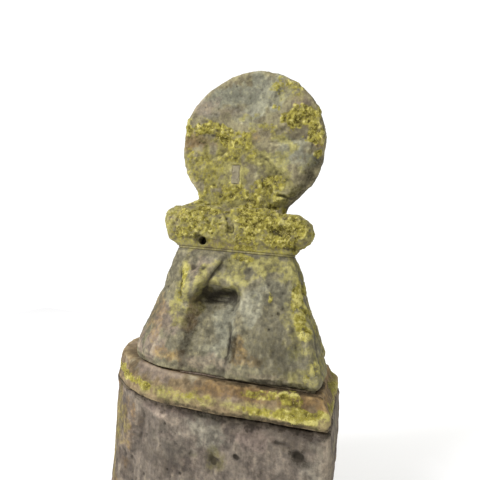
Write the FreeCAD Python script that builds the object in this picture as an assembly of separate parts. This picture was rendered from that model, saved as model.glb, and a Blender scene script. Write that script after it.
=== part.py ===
import FreeCAD, Part
import math
import os
from collections import namedtuple

# Stone garden sundial: a round dial stone on a short neck, a scrolled capital, a flared bell stone,
# a weathered ledge and a die whose front is sunk under the ledge, beside a proud rounded cheek.
# The stones sit on lime mortar beds with lead packers, and iron dowels run in lead pin them together.
#
# Millimetres. +Z is up, the dial faces -Y, +X is to the right seen from the front.
# The origin is the middle of the die's flat underside.

# ---------------------------------------------------------------- driving sizes
# Block plan, shared by the die and the ledge: square on the right, with a swept cheek at front left.
BLOCK_WIDTH = 468.0
BLOCK_DEPTH = 286.0
CHEEK_RADIUS = 230.0
BLOCK_ARRIS_RADIUS = 12.0

# Die, the lowest stone. Its front is sunk, and the cheek left of the sunk part has a sloping edge.
DIE_HEIGHT = 240.0
FRONT_SINK = 14.0
CHEEK_WIDTH_AT_TOP = 136.0
CHEEK_WIDTH_AT_FOOT = 88.0
CHEEK_SHOULDER_HEIGHT = 116.0

# Ledge, an upright fascia with a steep weathering above it.
FASCIA_HEIGHT = 18.0
WEATHERING_HEIGHT = 34.0
WEATHERING_RUN = 18.0

# Bell, the flared stone. Its foot is set in from the ledge's top edges by these margins.
BELL_LEFT_MARGIN = 50.0
BELL_RIGHT_MARGIN = 2.0
BELL_FACE_MARGIN = 3.0
BELL_FOOT_CHEEK = 140.0
BELL_LIP_HEIGHT = 20.0
BELL_SLOPE_HEIGHT = 196.0
BELL_TOP_WIDTH = 232.0
BELL_TOP_DEPTH = 116.0
BELL_TOP_CHEEK = 30.0
BELL_ARRIS_RADIUS = 20.0

# Carved leaf on the bell's front, and the flute below it, placed from the stack's middle line.
LEAF_WIDTH_TOP = 72.0
LEAF_WIDTH_FOOT = 26.0
LEAF_DROP = 86.0
LEAF_PROUD = 18.0
LEAF_OFFSET = -50.0
LEAF_FOOT_LEAN = -14.0
FLUTE_WIDTH = 80.0
FLUTE_SINK = 7.0
FLUTE_OFFSET = -15.0

# Capital with a scroll at each end, and an empty socket for an iron stay.
SCROLL_RADIUS = 35.0
SCROLL_SPAN = 214.0
SCROLL_LENGTH = 96.0
SCROLL_EYE_RADIUS = 12.0
SCROLL_EYE_SINK = 6.0
CAPITAL_BODY_DEPTH = 120.0
STAY_SOCKET_RADIUS = 8.0
STAY_SOCKET_DEPTH = 34.0
STAY_SOCKET_OFFSET = -62.0
STAY_SOCKET_FLOOR = 5.0

# Dial stone: a disc on a neck, one piece. The disc stands a little right of its neck.
DISC_RADIUS = 140.0
DISC_THICKNESS = 52.0
DISC_SHIFT = 12.0
NECK_WIDTH = 166.0
NECK_STRAIGHT = 7.0
NECK_FILLET = 8.0
# The neck's left side spreads out to this foot. Its right side drops straight.
NECK_FOOT_SPREAD = 36.0
NECK_FOOT_EDGE = 5.0
SECTOR_SINK = 4.0
SECTOR_INNER_RADIUS = 26.0
SECTOR_OUTER_MARGIN = 14.0
# Worn sunk sectors between the dial's rays: first and last angle, anticlockwise from the +X side.
SUNK_SECTORS = [(12.0, 34.0), (158.0, 182.0), (196.0, 236.0), (298.0, 330.0)]

# Slot for the gnomon's tang, left of and below the dial's middle.
TANG_SLOT_WIDTH = 14.0
TANG_SLOT_HEIGHT = 36.0
TANG_SLOT_DEPTH = 32.0
TANG_SLOT_OFFSET = -26.0
TANG_SLOT_DROP = 60.0
TANG_WIDTH = 5.0
TANG_HEIGHT = 24.0
TANG_LENGTH = 24.0

# Mortar beds and lead packers.
BED_THICKNESS = 4.0
BED_SETBACK = 6.0
PACKER_SIZE = 12.0
PACKER_MARGIN = 6.0

# Dowels, in sockets filled with lead.
DOWEL_RADIUS = 8.0
LEAD_WALL = 4.0
LEAD_CAP = 6.0
LOWER_DOWEL_INSET = 80.0
LOWER_DOWEL_INTO_DIE = 90.0
LOWER_DOWEL_INTO_BELL = 90.0
UPPER_DOWEL_INTO_BELL = 80.0
# Stone left between the upper dowel's socket and the gnomon's slot above it.
SLOT_CLEARANCE = 10.0

# Socket in the die's underside for the dowel of whatever it stands on.
FOOT_SOCKET_RADIUS = 14.0
FOOT_SOCKET_DEPTH = 90.0

# How far cutting shapes run past the stone that they cut.
OVERSHOOT = 5.0


# ---------------------------------------------------------------- plan outlines
def point_on_circle(x, y, z, radius, angle):
    """Point on a level circle, at an angle in degrees."""
    turn = math.radians(angle)
    return FreeCAD.Vector(x + radius * math.cos(turn), y + radius * math.sin(turn), z)


class Plan(namedtuple("Plan", "left right front back cheek corner")):
    """Plan outline: three corners of one radius, and the front left corner swept by the cheek radius."""

    def inset(self, amount):
        """The same outline taken in by an amount all round."""
        return Plan(
            self.left + amount,
            self.right - amount,
            self.front + amount,
            self.back - amount,
            max(self.cheek - amount, self.corner / 2),
            max(self.corner - amount, self.corner / 2),
        )

    def between(self, other, share):
        """Outline between this one and another, where share runs from 0 here to 1 there."""
        return Plan(*[here + (there - here) * share for here, there in zip(self, other)])

    def middle(self):
        """The outline's middle in X."""
        return (self.left + self.right) / 2

    def wire(self, z):
        """Closed outline at a height. The swept corner is limited by the outline's own sides."""
        sides = min(self.right - self.left, self.back - self.front)
        cheek = min(self.cheek, sides - 2 * self.corner)
        corners = [
            (self.right - self.corner, self.front + self.corner, self.corner, -90.0),
            (self.right - self.corner, self.back - self.corner, self.corner, 0.0),
            (self.left + self.corner, self.back - self.corner, self.corner, 90.0),
            (self.left + cheek, self.front + cheek, cheek, 180.0),
        ]
        arcs = []
        for x, y, radius, start in corners:
            arcs.append([point_on_circle(x, y, z, radius, start + turn) for turn in (0.0, 45.0, 90.0)])
        edges = []
        for points, following in zip(arcs, arcs[1:] + arcs[:1]):
            edges.append(Part.Arc(*points).toShape())
            edges.append(Part.makeLine(points[-1], following[0]))
        return Part.Wire(edges)

    def prism(self, base, height):
        """Upright prism on the outline."""
        return Part.Face(self.wire(base)).extrude(FreeCAD.Vector(0, 0, height))


# ---------------------------------------------------------------- worked-out plans and levels
BLOCK = Plan(
    -BLOCK_WIDTH / 2,
    BLOCK_WIDTH / 2,
    -BLOCK_DEPTH / 2,
    BLOCK_DEPTH / 2,
    CHEEK_RADIUS,
    BLOCK_ARRIS_RADIUS,
)
LEDGE_TOP_PLAN = BLOCK.inset(WEATHERING_RUN)
DIE_CORE = BLOCK._replace(
    left=BLOCK.left + FRONT_SINK,
    front=BLOCK.front + FRONT_SINK,
    cheek=BLOCK.cheek - FRONT_SINK,
)
BELL_FOOT = Plan(
    LEDGE_TOP_PLAN.left + BELL_LEFT_MARGIN,
    LEDGE_TOP_PLAN.right - BELL_RIGHT_MARGIN,
    LEDGE_TOP_PLAN.front + BELL_FACE_MARGIN,
    LEDGE_TOP_PLAN.back - BELL_FACE_MARGIN,
    BELL_FOOT_CHEEK,
    BELL_ARRIS_RADIUS,
)
# Everything above the ledge stands on the bell's middle line.
STACK_X = BELL_FOOT.middle()
BELL_HEAD = Plan(
    STACK_X - BELL_TOP_WIDTH / 2,
    STACK_X + BELL_TOP_WIDTH / 2,
    -BELL_TOP_DEPTH / 2,
    BELL_TOP_DEPTH / 2,
    BELL_TOP_CHEEK,
    BELL_ARRIS_RADIUS,
)

LEDGE_BASE = DIE_HEIGHT + BED_THICKNESS
ARRIS_LEVEL = LEDGE_BASE + FASCIA_HEIGHT
LEDGE_TOP = ARRIS_LEVEL + WEATHERING_HEIGHT
BELL_BASE = LEDGE_TOP + BED_THICKNESS
BELL_SLOPE_BASE = BELL_BASE + BELL_LIP_HEIGHT
BELL_TOP = BELL_SLOPE_BASE + BELL_SLOPE_HEIGHT
CAPITAL_BASE = BELL_TOP + BED_THICKNESS
CAPITAL_HEIGHT = 2 * SCROLL_RADIUS
CAPITAL_TOP = CAPITAL_BASE + CAPITAL_HEIGHT
SCROLL_ENDS = (STACK_X - SCROLL_SPAN / 2, STACK_X + SCROLL_SPAN / 2)
SCROLL_Z = CAPITAL_BASE + SCROLL_RADIUS
HEAD_BASE = CAPITAL_TOP + BED_THICKNESS
SOCKET_RADIUS = DOWEL_RADIUS + LEAD_WALL
LOWER_SOCKET_FLOOR = DIE_HEIGHT - LOWER_DOWEL_INTO_DIE
LOWER_SOCKET_ROOF = BELL_BASE + LOWER_DOWEL_INTO_BELL


def neck_drop(side):
    """How far the centre of one side's neck fillet lies below the disc's middle."""
    across = NECK_WIDTH / 2 - side * DISC_SHIFT + NECK_FILLET
    return math.sqrt((DISC_RADIUS + NECK_FILLET) ** 2 - across**2)


NECK_FOOT_LEFT = STACK_X - NECK_WIDTH / 2 - NECK_FOOT_SPREAD
DISC_X = STACK_X + DISC_SHIFT
DISC_Z = HEAD_BASE + NECK_STRAIGHT + max(neck_drop(-1), neck_drop(1))
UPPER_SOCKET_FLOOR = BELL_TOP - UPPER_DOWEL_INTO_BELL
UPPER_SOCKET_ROOF = DISC_Z - TANG_SLOT_DROP - TANG_SLOT_HEIGHT / 2 - SLOT_CLEARANCE


def upright_cylinder(radius, x, base, top):
    """Upright cylinder between two heights, on the middle line from left to right."""
    return Part.makeCylinder(radius, top - base, FreeCAD.Vector(x, 0, base))


def cylinder_from_front(radius, x, z, front, length):
    """Cylinder that runs from front to back."""
    return Part.makeCylinder(radius, length, FreeCAD.Vector(x, front, z), FreeCAD.Vector(0, 1, 0))


def closed_face(points):
    """Flat face on a closed polygon."""
    return Part.Face(Part.makePolygon(points + points[:1]))


# ---------------------------------------------------------------- dowels and their lead
def lower_dowel_places():
    """Places of the two dowels that run from the die through the ledge into the bell."""
    return {"left": BELL_FOOT.left + LOWER_DOWEL_INSET, "right": BELL_FOOT.right - LOWER_DOWEL_INSET}


def lower_socket(x):
    """The lead-filled hole of one lower dowel."""
    return upright_cylinder(SOCKET_RADIUS, x, LOWER_SOCKET_FLOOR, LOWER_SOCKET_ROOF)


def lower_dowel(x):
    """One lower dowel. It stands on the socket's floor and stops short of its roof."""
    return upright_cylinder(DOWEL_RADIUS, x, LOWER_SOCKET_FLOOR, LOWER_SOCKET_ROOF - LEAD_CAP)


def upper_socket():
    """The lead-filled hole of the dowel that runs from the bell through the capital into the neck."""
    return upright_cylinder(SOCKET_RADIUS, STACK_X, UPPER_SOCKET_FLOOR, UPPER_SOCKET_ROOF)


def upper_dowel():
    """The upper dowel. It stands on the socket's floor and stops short of its roof."""
    return upright_cylinder(DOWEL_RADIUS, STACK_X, UPPER_SOCKET_FLOOR, UPPER_SOCKET_ROOF - LEAD_CAP)


def all_sockets():
    """Every dowel socket."""
    return [lower_socket(x) for x in lower_dowel_places().values()] + [upper_socket()]


# ---------------------------------------------------------------- stones
def make_die():
    """Lowest stone: sunk front beside the proud cheek, and the foot socket."""
    cheek_top = BLOCK.left + CHEEK_WIDTH_AT_TOP
    cheek_foot = BLOCK.left + CHEEK_WIDTH_AT_FOOT
    outside = BLOCK.right + OVERSHOOT
    front = BLOCK.front - OVERSHOOT
    outline = [
        FreeCAD.Vector(cheek_foot, front, -OVERSHOOT),
        FreeCAD.Vector(outside, front, -OVERSHOOT),
        FreeCAD.Vector(outside, front, DIE_HEIGHT + OVERSHOOT),
        FreeCAD.Vector(cheek_top, front, DIE_HEIGHT + OVERSHOOT),
        FreeCAD.Vector(cheek_top, front, DIE_HEIGHT),
        FreeCAD.Vector(cheek_foot, front, CHEEK_SHOULDER_HEIGHT),
    ]
    window = closed_face(outline).extrude(FreeCAD.Vector(0, BLOCK_DEPTH / 2, 0))
    core = DIE_CORE.prism(-2 * OVERSHOOT, DIE_HEIGHT + 4 * OVERSHOOT)
    foot_socket = upright_cylinder(FOOT_SOCKET_RADIUS, 0.0, -OVERSHOOT, FOOT_SOCKET_DEPTH)
    return BLOCK.prism(0.0, DIE_HEIGHT).cut([window.cut(core), foot_socket])


def make_ledge():
    """Ledge stone: an upright fascia, then a weathering that leans in all round."""
    fascia = BLOCK.prism(LEDGE_BASE, FASCIA_HEIGHT)
    weathering = Part.makeLoft([BLOCK.wire(ARRIS_LEVEL), LEDGE_TOP_PLAN.wire(LEDGE_TOP)], True, True)
    return fascia.fuse(weathering)


def bell_plan_at(z):
    """The bell's outline at a height on its slope."""
    return BELL_FOOT.between(BELL_HEAD, (z - BELL_SLOPE_BASE) / BELL_SLOPE_HEIGHT)


def make_leaf():
    """Worn leaf that hangs on the bell's front under the capital, thickest right of its middle."""
    sections = []
    levels = [
        (BELL_TOP, LEAF_WIDTH_TOP, 0.0),
        (BELL_TOP - LEAF_DROP, LEAF_WIDTH_FOOT, LEAF_FOOT_LEAN),
    ]
    for z, width, lean in levels:
        middle = STACK_X + LEAF_OFFSET + lean
        face = bell_plan_at(z).front
        root = face + LEAF_PROUD
        profile = [
            (middle - width / 2, root),
            (middle + width / 2, root),
            (middle + width / 2, face - LEAF_PROUD / 2),
            (middle + width / 6, face - LEAF_PROUD),
            (middle - width / 2, face - LEAF_PROUD * 2 / 3),
        ]
        points = [FreeCAD.Vector(x, y, z) for x, y in profile]
        sections.append(Part.makePolygon(points + points[:1]))
    return Part.makeLoft(sections, True, True)


def make_flute():
    """Shallow round-bottomed flute that runs down the bell's front slope, below the leaf."""
    radius = ((FLUTE_WIDTH / 2) ** 2 + FLUTE_SINK**2) / (2 * FLUTE_SINK)
    run = BELL_HEAD.front - BELL_FOOT.front
    slope = FreeCAD.Vector(0, run, BELL_SLOPE_HEIGHT).normalize()
    outward = FreeCAD.Vector(0, -slope.z, slope.y)
    foot = FreeCAD.Vector(STACK_X + FLUTE_OFFSET, BELL_FOOT.front, BELL_SLOPE_BASE)
    length = (BELL_SLOPE_HEIGHT - LEAF_DROP) / slope.z
    return Part.makeCylinder(radius, length, foot + outward * (radius - FLUTE_SINK), slope)


def make_bell():
    """Flared stone with a short upright lip at its foot, the leaf and the flute."""
    lip = BELL_FOOT.prism(BELL_BASE, BELL_LIP_HEIGHT)
    flare = Part.makeLoft([BELL_FOOT.wire(BELL_SLOPE_BASE), BELL_HEAD.wire(BELL_TOP)], True, True)
    return lip.fuse(flare).cut(make_flute()).fuse(make_leaf())


def capital_body():
    """The capital without its eyes and socket: a deep middle, and a scroll at each end."""
    core_length = SCROLL_SPAN - 2 * SCROLL_RADIUS
    core = Part.makeBox(
        core_length,
        CAPITAL_BODY_DEPTH,
        CAPITAL_HEIGHT,
        FreeCAD.Vector(STACK_X - core_length / 2, -CAPITAL_BODY_DEPTH / 2, CAPITAL_BASE),
    )
    web = Part.makeBox(
        SCROLL_SPAN,
        SCROLL_LENGTH,
        CAPITAL_HEIGHT,
        FreeCAD.Vector(SCROLL_ENDS[0], -SCROLL_LENGTH / 2, CAPITAL_BASE),
    )
    front = -SCROLL_LENGTH / 2
    scrolls = [cylinder_from_front(SCROLL_RADIUS, x, SCROLL_Z, front, SCROLL_LENGTH) for x in SCROLL_ENDS]
    return core.fuse([web] + scrolls)


def make_capital():
    """Scrolled capital, with the sunk eyes of the scrolls and the empty stay socket."""
    cuts = []
    length = SCROLL_EYE_SINK + OVERSHOOT
    for x in SCROLL_ENDS:
        for front in (-SCROLL_LENGTH / 2 - OVERSHOOT, SCROLL_LENGTH / 2 - SCROLL_EYE_SINK):
            cuts.append(cylinder_from_front(SCROLL_EYE_RADIUS, x, SCROLL_Z, front, length))
    cuts.append(
        cylinder_from_front(
            STAY_SOCKET_RADIUS,
            STACK_X + STAY_SOCKET_OFFSET,
            CAPITAL_BASE + STAY_SOCKET_FLOOR + STAY_SOCKET_RADIUS,
            -CAPITAL_BODY_DEPTH / 2 - OVERSHOOT,
            STAY_SOCKET_DEPTH + OVERSHOOT,
        )
    )
    return capital_body().cut(cuts)


def disc_point(angle, radius, y):
    """Point at an angle on a circle round the dial's middle."""
    turn = math.radians(angle)
    return FreeCAD.Vector(DISC_X + radius * math.cos(turn), y, DISC_Z + radius * math.sin(turn))


def neck_fillet(side, y):
    """Points of one side's fillet, from the neck to the disc: start, middle and end."""
    neck_x = STACK_X + side * NECK_WIDTH / 2
    centre = FreeCAD.Vector(neck_x + side * NECK_FILLET, y, DISC_Z - neck_drop(side))
    middle = FreeCAD.Vector(DISC_X, y, DISC_Z)
    start = FreeCAD.Vector(neck_x, y, centre.z)
    end = centre + (middle - centre).normalize() * NECK_FILLET
    bisector = ((start + end) * 0.5 - centre).normalize()
    return [start, centre + bisector * NECK_FILLET, end]


def head_outline(y):
    """Front outline of the dial stone: the neck's sides run into the disc through small fillets."""
    right, left = neck_fillet(1, y), neck_fillet(-1, y)
    right_foot = FreeCAD.Vector(right[0].x, y, HEAD_BASE)
    left_foot = FreeCAD.Vector(NECK_FOOT_LEFT, y, HEAD_BASE)
    left_edge = FreeCAD.Vector(NECK_FOOT_LEFT, y, HEAD_BASE + NECK_FOOT_EDGE)
    edges = [
        Part.makeLine(left_foot, right_foot),
        Part.makeLine(right_foot, right[0]),
        Part.Arc(*right).toShape(),
        Part.Arc(right[2], disc_point(90.0, DISC_RADIUS, y), left[2]).toShape(),
        Part.Arc(*left[::-1]).toShape(),
        Part.makeLine(left[0], left_edge),
        Part.makeLine(left_edge, left_foot),
    ]
    return Part.Wire(edges)


def sector_pocket(first, last, front):
    """Shallow pocket between two angles on the dial's face."""
    y = front - OVERSHOOT
    angles = (first, (first + last) / 2, last)
    outer = [disc_point(angle, DISC_RADIUS - SECTOR_OUTER_MARGIN, y) for angle in angles]
    inner = [disc_point(angle, SECTOR_INNER_RADIUS, y) for angle in reversed(angles)]
    edges = [
        Part.Arc(*outer).toShape(),
        Part.makeLine(outer[2], inner[0]),
        Part.Arc(*inner).toShape(),
        Part.makeLine(inner[2], outer[0]),
    ]
    return Part.Face(Part.Wire(edges)).extrude(FreeCAD.Vector(0, SECTOR_SINK + OVERSHOOT, 0))


def slot_box(width, height, front, back):
    """Box between two depths, centred on the gnomon's slot."""
    corner = FreeCAD.Vector(
        DISC_X + TANG_SLOT_OFFSET - width / 2,
        front,
        DISC_Z - TANG_SLOT_DROP - height / 2,
    )
    return Part.makeBox(width, back - front, height, corner)


def tang_slot():
    """The slot in the dial's face, which the lead fills."""
    face = -DISC_THICKNESS / 2
    return slot_box(TANG_SLOT_WIDTH, TANG_SLOT_HEIGHT, face, face + TANG_SLOT_DEPTH)


def make_tang():
    """Broken-off iron tang of the lost gnomon, on the slot's floor under the dressed lead."""
    floor = -DISC_THICKNESS / 2 + TANG_SLOT_DEPTH
    return slot_box(TANG_WIDTH, TANG_HEIGHT, floor - TANG_LENGTH, floor)


def make_dial_stone():
    """Disc and neck in one stone, with the sunk sectors and the gnomon's slot."""
    front = -DISC_THICKNESS / 2
    stone = Part.Face(head_outline(front)).extrude(FreeCAD.Vector(0, DISC_THICKNESS, 0))
    pockets = [sector_pocket(first, last, front) for first, last in SUNK_SECTORS]
    return stone.cut(pockets + [tang_slot()])


# ---------------------------------------------------------------- beds and packers
def bed_plans():
    """Each mortar bed's outline and base height, set back from the smaller stone's edges."""
    scroll_seat = Plan(
        max(BELL_HEAD.left, SCROLL_ENDS[0]),
        min(BELL_HEAD.right, SCROLL_ENDS[1]),
        max(BELL_HEAD.front, -SCROLL_LENGTH / 2),
        min(BELL_HEAD.back, SCROLL_LENGTH / 2),
        BELL_TOP_CHEEK,
        BLOCK_ARRIS_RADIUS,
    )
    neck_seat = Plan(
        max(NECK_FOOT_LEFT, SCROLL_ENDS[0]),
        STACK_X + NECK_WIDTH / 2,
        -DISC_THICKNESS / 2,
        DISC_THICKNESS / 2,
        BLOCK_ARRIS_RADIUS,
        BLOCK_ARRIS_RADIUS,
    )
    return {
        "ledge": (DIE_CORE.inset(BED_SETBACK), DIE_HEIGHT),
        "bell": (BELL_FOOT.inset(BED_SETBACK), LEDGE_TOP),
        "capital": (scroll_seat.inset(BED_SETBACK), BELL_TOP),
        "dial": (neck_seat.inset(BED_SETBACK / 2), CAPITAL_TOP),
    }


def make_packers(plan, base):
    """The separate lead packers of one bed: one near each corner, clear of the swept one."""
    inner = plan.inset(PACKER_MARGIN)
    swept = plan.cheek * (1 - math.sqrt(0.5))
    far_x, far_y = inner.right - PACKER_SIZE, inner.back - PACKER_SIZE
    places = [
        (far_x, inner.front),
        (far_x, far_y),
        (inner.left, far_y),
        (inner.left + swept, inner.front + swept),
    ]
    return [
        Part.makeBox(PACKER_SIZE, PACKER_SIZE, BED_THICKNESS, FreeCAD.Vector(x, y, base)) for x, y in places
    ]


def make_beds():
    """Mortar beds and packers by node name."""
    nodes = {}
    for name, (plan, base) in bed_plans().items():
        packers = make_packers(plan, base)
        nodes[name + "_mortar_bed"] = plan.prism(base, BED_THICKNESS).cut(all_sockets() + packers)
        nodes[name + "_lead_packers"] = Part.makeCompound(packers)
    return nodes


# ---------------------------------------------------------------- the whole
def make_nodes():
    """Every separate piece, by node name."""
    sockets = all_sockets()
    nodes = {
        "die": make_die().cut(sockets),
        "ledge": make_ledge().cut(sockets).removeSplitter(),
        "bell": make_bell().cut(sockets).removeSplitter(),
        "capital": make_capital().cut(sockets).removeSplitter(),
        "dial_stone": make_dial_stone().cut(sockets),
        "gnomon_lead": tang_slot().cut(make_tang()),
        "gnomon_tang": make_tang(),
        "upper_dowel": upper_dowel(),
        "upper_dowel_lead": upper_socket().cut(upper_dowel()),
    }
    for side, x in lower_dowel_places().items():
        nodes[f"lower_dowel_{side}"] = lower_dowel(x)
        nodes[f"lower_dowel_lead_{side}"] = lower_socket(x).cut(lower_dowel(x))
    nodes.update(make_beds())
    return nodes


def main():
    """Builds every node and writes one STEP file for each."""
    os.makedirs("parts", exist_ok=True)
    for name, shape in sorted(make_nodes().items()):
        solids = shape.Solids
        print(f"{name}: {len(solids)} solid(s), {shape.Volume / 1000:.1f} cm3")
        if not solids or not shape.isValid():
            raise ValueError(f"{name} isn't a valid solid")
        kept = solids[0] if len(solids) == 1 else Part.makeCompound(solids)
        kept.exportStep(f"parts/{name}.step")


main()
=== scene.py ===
"""Weathered garden sundial: carved stones, mortar joints, lead and lichen around the fixed frame.

Every stone is carved as a distance field in millimetres, worn by seeded noise, and turned into a mesh.
Growths such as lichen are painted as point attributes, which the procedural stone finish reads; so is painted
shade in hollows, on undersides and under overhangs.
"""

import itertools
import logging
import math
from dataclasses import dataclass, field
from enum import Enum

import bpy
import numpy as np
from mathutils import Matrix, Vector


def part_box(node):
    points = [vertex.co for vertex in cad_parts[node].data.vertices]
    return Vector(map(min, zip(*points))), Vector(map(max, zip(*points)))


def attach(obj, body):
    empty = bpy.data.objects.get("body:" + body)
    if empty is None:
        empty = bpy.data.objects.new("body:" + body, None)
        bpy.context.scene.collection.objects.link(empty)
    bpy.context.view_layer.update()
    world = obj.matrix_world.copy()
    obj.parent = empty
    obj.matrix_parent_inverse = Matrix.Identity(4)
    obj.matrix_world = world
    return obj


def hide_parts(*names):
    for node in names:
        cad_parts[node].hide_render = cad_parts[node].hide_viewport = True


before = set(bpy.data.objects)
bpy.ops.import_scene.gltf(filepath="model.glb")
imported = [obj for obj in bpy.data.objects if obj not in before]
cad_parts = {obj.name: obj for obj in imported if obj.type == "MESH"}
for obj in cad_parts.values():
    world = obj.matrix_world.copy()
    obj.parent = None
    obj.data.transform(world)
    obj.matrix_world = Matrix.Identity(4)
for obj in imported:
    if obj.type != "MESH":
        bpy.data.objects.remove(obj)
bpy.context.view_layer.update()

LOG = logging.getLogger("sundial")

METRE = 1000.0

Array = np.ndarray
Limit = float | Array
Colour = tuple[float, float, float]


def tone(red: int, green: int, blue: int) -> Colour:
    """Turns a screen tone into the linear colour that a shader reads.

    Args:
        red: Red from 0 to 255.
        green: Green from 0 to 255.
        blue: Blue from 0 to 255.

    Returns:
        The linear colour.
    """
    return tuple(((value / 255.0 + 0.055) / 1.055) ** 2.4 for value in (red, green, blue))


def node_box(node: str) -> tuple[Array, Array]:
    """Gives a node's box in millimetres.

    Args:
        node: Name of the node.

    Returns:
        The lowest and the highest corner.
    """
    low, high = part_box(node)
    return np.array(low) * METRE, np.array(high) * METRE


# ---------------------------------------------------------------- noise and distance tools
class StoneNoise:
    """Smooth random field that is the same on every run for one seed."""

    SIZE = 64
    LAYER_SHIFT = 17.3
    LAYER_GAIN = 1.6
    PIT_SMALLEST = 0.16
    PIT_SPREAD = 0.26
    PIT_STRAY = 0.6

    def __init__(self, seed: int) -> None:
        """Draws the lattice.

        Args:
            seed: Seed of the random lattice.
        """
        rng = np.random.default_rng(seed)
        self.lattice = rng.uniform(-1.0, 1.0, (self.SIZE,) * 3).astype(np.float32)
        self.jitter = rng.uniform(0.0, 1.0, (self.SIZE,) * 3 + (4,)).astype(np.float32)

    def value(self, points: Array, grain: float | tuple[float, float, float]) -> Array:
        """Gives smooth noise from -1 to 1.

        Args:
            points: Points in millimetres, one row each.
            grain: Size of one noise cell, alike or by axis.

        Returns:
            One value for each point.
        """
        cell = points / np.asarray(grain, np.float32)
        base = np.floor(cell).astype(np.int32)
        part = cell - base
        part = part * part * (3.0 - 2.0 * part)
        total = np.zeros(len(points), np.float32)
        for corner in itertools.product((0, 1), repeat=3):
            weight = np.ones(len(points), np.float32)
            for axis, step in enumerate(corner):
                weight *= part[:, axis] if step else 1.0 - part[:, axis]
            x, y, z = ((base + corner) & (self.SIZE - 1)).T
            total += weight * self.lattice[x, y, z]
        return total

    def layered(self, points: Array, grain: float, layers: int, fade: float = 0.5) -> Array:
        """Adds up ever finer noise.

        Args:
            points: Points in millimetres.
            grain: Size of the coarsest cell.
            layers: Number of layers, each half as large as the one before.
            fade: Strength of each layer against the one before.

        Returns:
            One value for each point, about -1 to 1.
        """
        total = np.zeros(len(points), np.float32)
        strength, reach = 1.0, 0.0
        for layer in range(layers):
            total += strength * self.value(points + self.LAYER_SHIFT * layer, grain / 2**layer)
            reach += strength
            strength *= fade
        return total / reach * self.LAYER_GAIN

    def pits(self, points: Array, grain: float, share: float) -> Array:
        """Gives round hollows scattered one to a cell.

        Args:
            points: Points in millimetres.
            grain: Size of the cell that holds one hollow.
            share: Share of the cells that have a hollow.

        Returns:
            Depth of the hollow at each point, from 0 to 1.
        """
        cell = points / grain
        base = np.floor(cell - 0.5).astype(np.int32)
        depth = np.zeros(len(points), np.float32)
        for corner in itertools.product((0, 1), repeat=3):
            near = base + corner
            x, y, z = (near & (self.SIZE - 1)).T
            draw = self.jitter[x, y, z]
            centre = near + 0.5 + (draw[:, :3] - 0.5) * self.PIT_STRAY
            radius = self.PIT_SMALLEST + self.PIT_SPREAD * draw[:, 0] * draw[:, 1]
            away = np.linalg.norm(cell - centre, axis=1) / radius
            here = np.where(draw[:, 3] < share, np.clip(1.0 - away, 0.0, 1.0), 0.0)
            depth = np.maximum(depth, here)
        return depth


def ease(value: Array, start: float, end: float) -> Array:
    """Gives 0 before start and 1 after end, with a smooth turn between them.

    Args:
        value: Values to grade.
        start: Value that gives 0.
        end: Value that gives 1, which may be less than start.

    Returns:
        The graded values.
    """
    share = np.clip((value - start) / (end - start), 0.0, 1.0)
    return share * share * (3.0 - 2.0 * share)


def join(a: Array, b: Array, blend: float) -> Array:
    """Joins two distance fields with a soft seam of the given width."""
    share = np.clip(0.5 + 0.5 * (b - a) / blend, 0.0, 1.0)
    return b + (a - b) * share - blend * share * (1.0 - share)


def meet(a: Array, b: Array, radius: float) -> Array:
    """Keeps what two distance fields share, with a rounded edge of the given radius."""
    out_a, out_b = a + radius, b + radius
    within = np.minimum(np.maximum(out_a, out_b), 0.0)
    return within + np.hypot(np.maximum(out_a, 0), np.maximum(out_b, 0)) - radius


def carve(a: Array, b: Array, radius: float) -> Array:
    """Cuts the second field out of the first, with an edge of the given radius."""
    return meet(a, -b, radius)


def block(points: Array, low: tuple, high: tuple, radius: float) -> Array:
    """Distance to a box with rounded edges.

    Args:
        points: Points in millimetres.
        low: Lowest corner.
        high: Highest corner.
        radius: Radius of the edges.

    Returns:
        The signed distance.
    """
    low, high = np.array(low, np.float32), np.array(high, np.float32)
    away = np.abs(points - (low + high) / 2) - (high - low) / 2 + radius
    return np.linalg.norm(np.maximum(away, 0.0), axis=1) + np.minimum(away.max(axis=1), 0.0) - radius


def ellipsoid(points: Array, centre: tuple, radii: tuple) -> Array:
    """Near distance to an ellipsoid.

    Args:
        points: Points in millimetres.
        centre: Its middle.
        radii: Its half sizes by axis.

    Returns:
        The signed distance, close enough near the surface.
    """
    away = (points - np.array(centre, np.float32)) / np.array(radii, np.float32)
    return (np.linalg.norm(away, axis=1) - 1.0) * min(radii)


def plan_distance(
    x: Array, y: Array, left: Limit, right: Limit, front: Limit, back: Limit, cheek: Limit, corner: float
) -> Array:
    """Level distance to a stone's plan: three like corners and a swept front left one.

    Args:
        x: X of each point.
        y: Y of each point.
        left: Left limit, a number or one for each point, like the other limits.
        right: Right limit.
        front: Front limit.
        back: Back limit.
        cheek: Radius of the swept corner, given like the limits.
        corner: Radius of the other corners.

    Returns:
        The signed distance.
    """
    across = np.maximum(left - x, x - right)
    deep = np.maximum(front - y, y - back)
    rest = meet(across, deep, corner)
    cheek_x, cheek_y = left + cheek, front + cheek
    swept = np.hypot(x - cheek_x, y - cheek_y) - cheek
    return np.where((x < cheek_x) & (y < cheek_y), np.maximum(rest, swept), rest)


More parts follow.
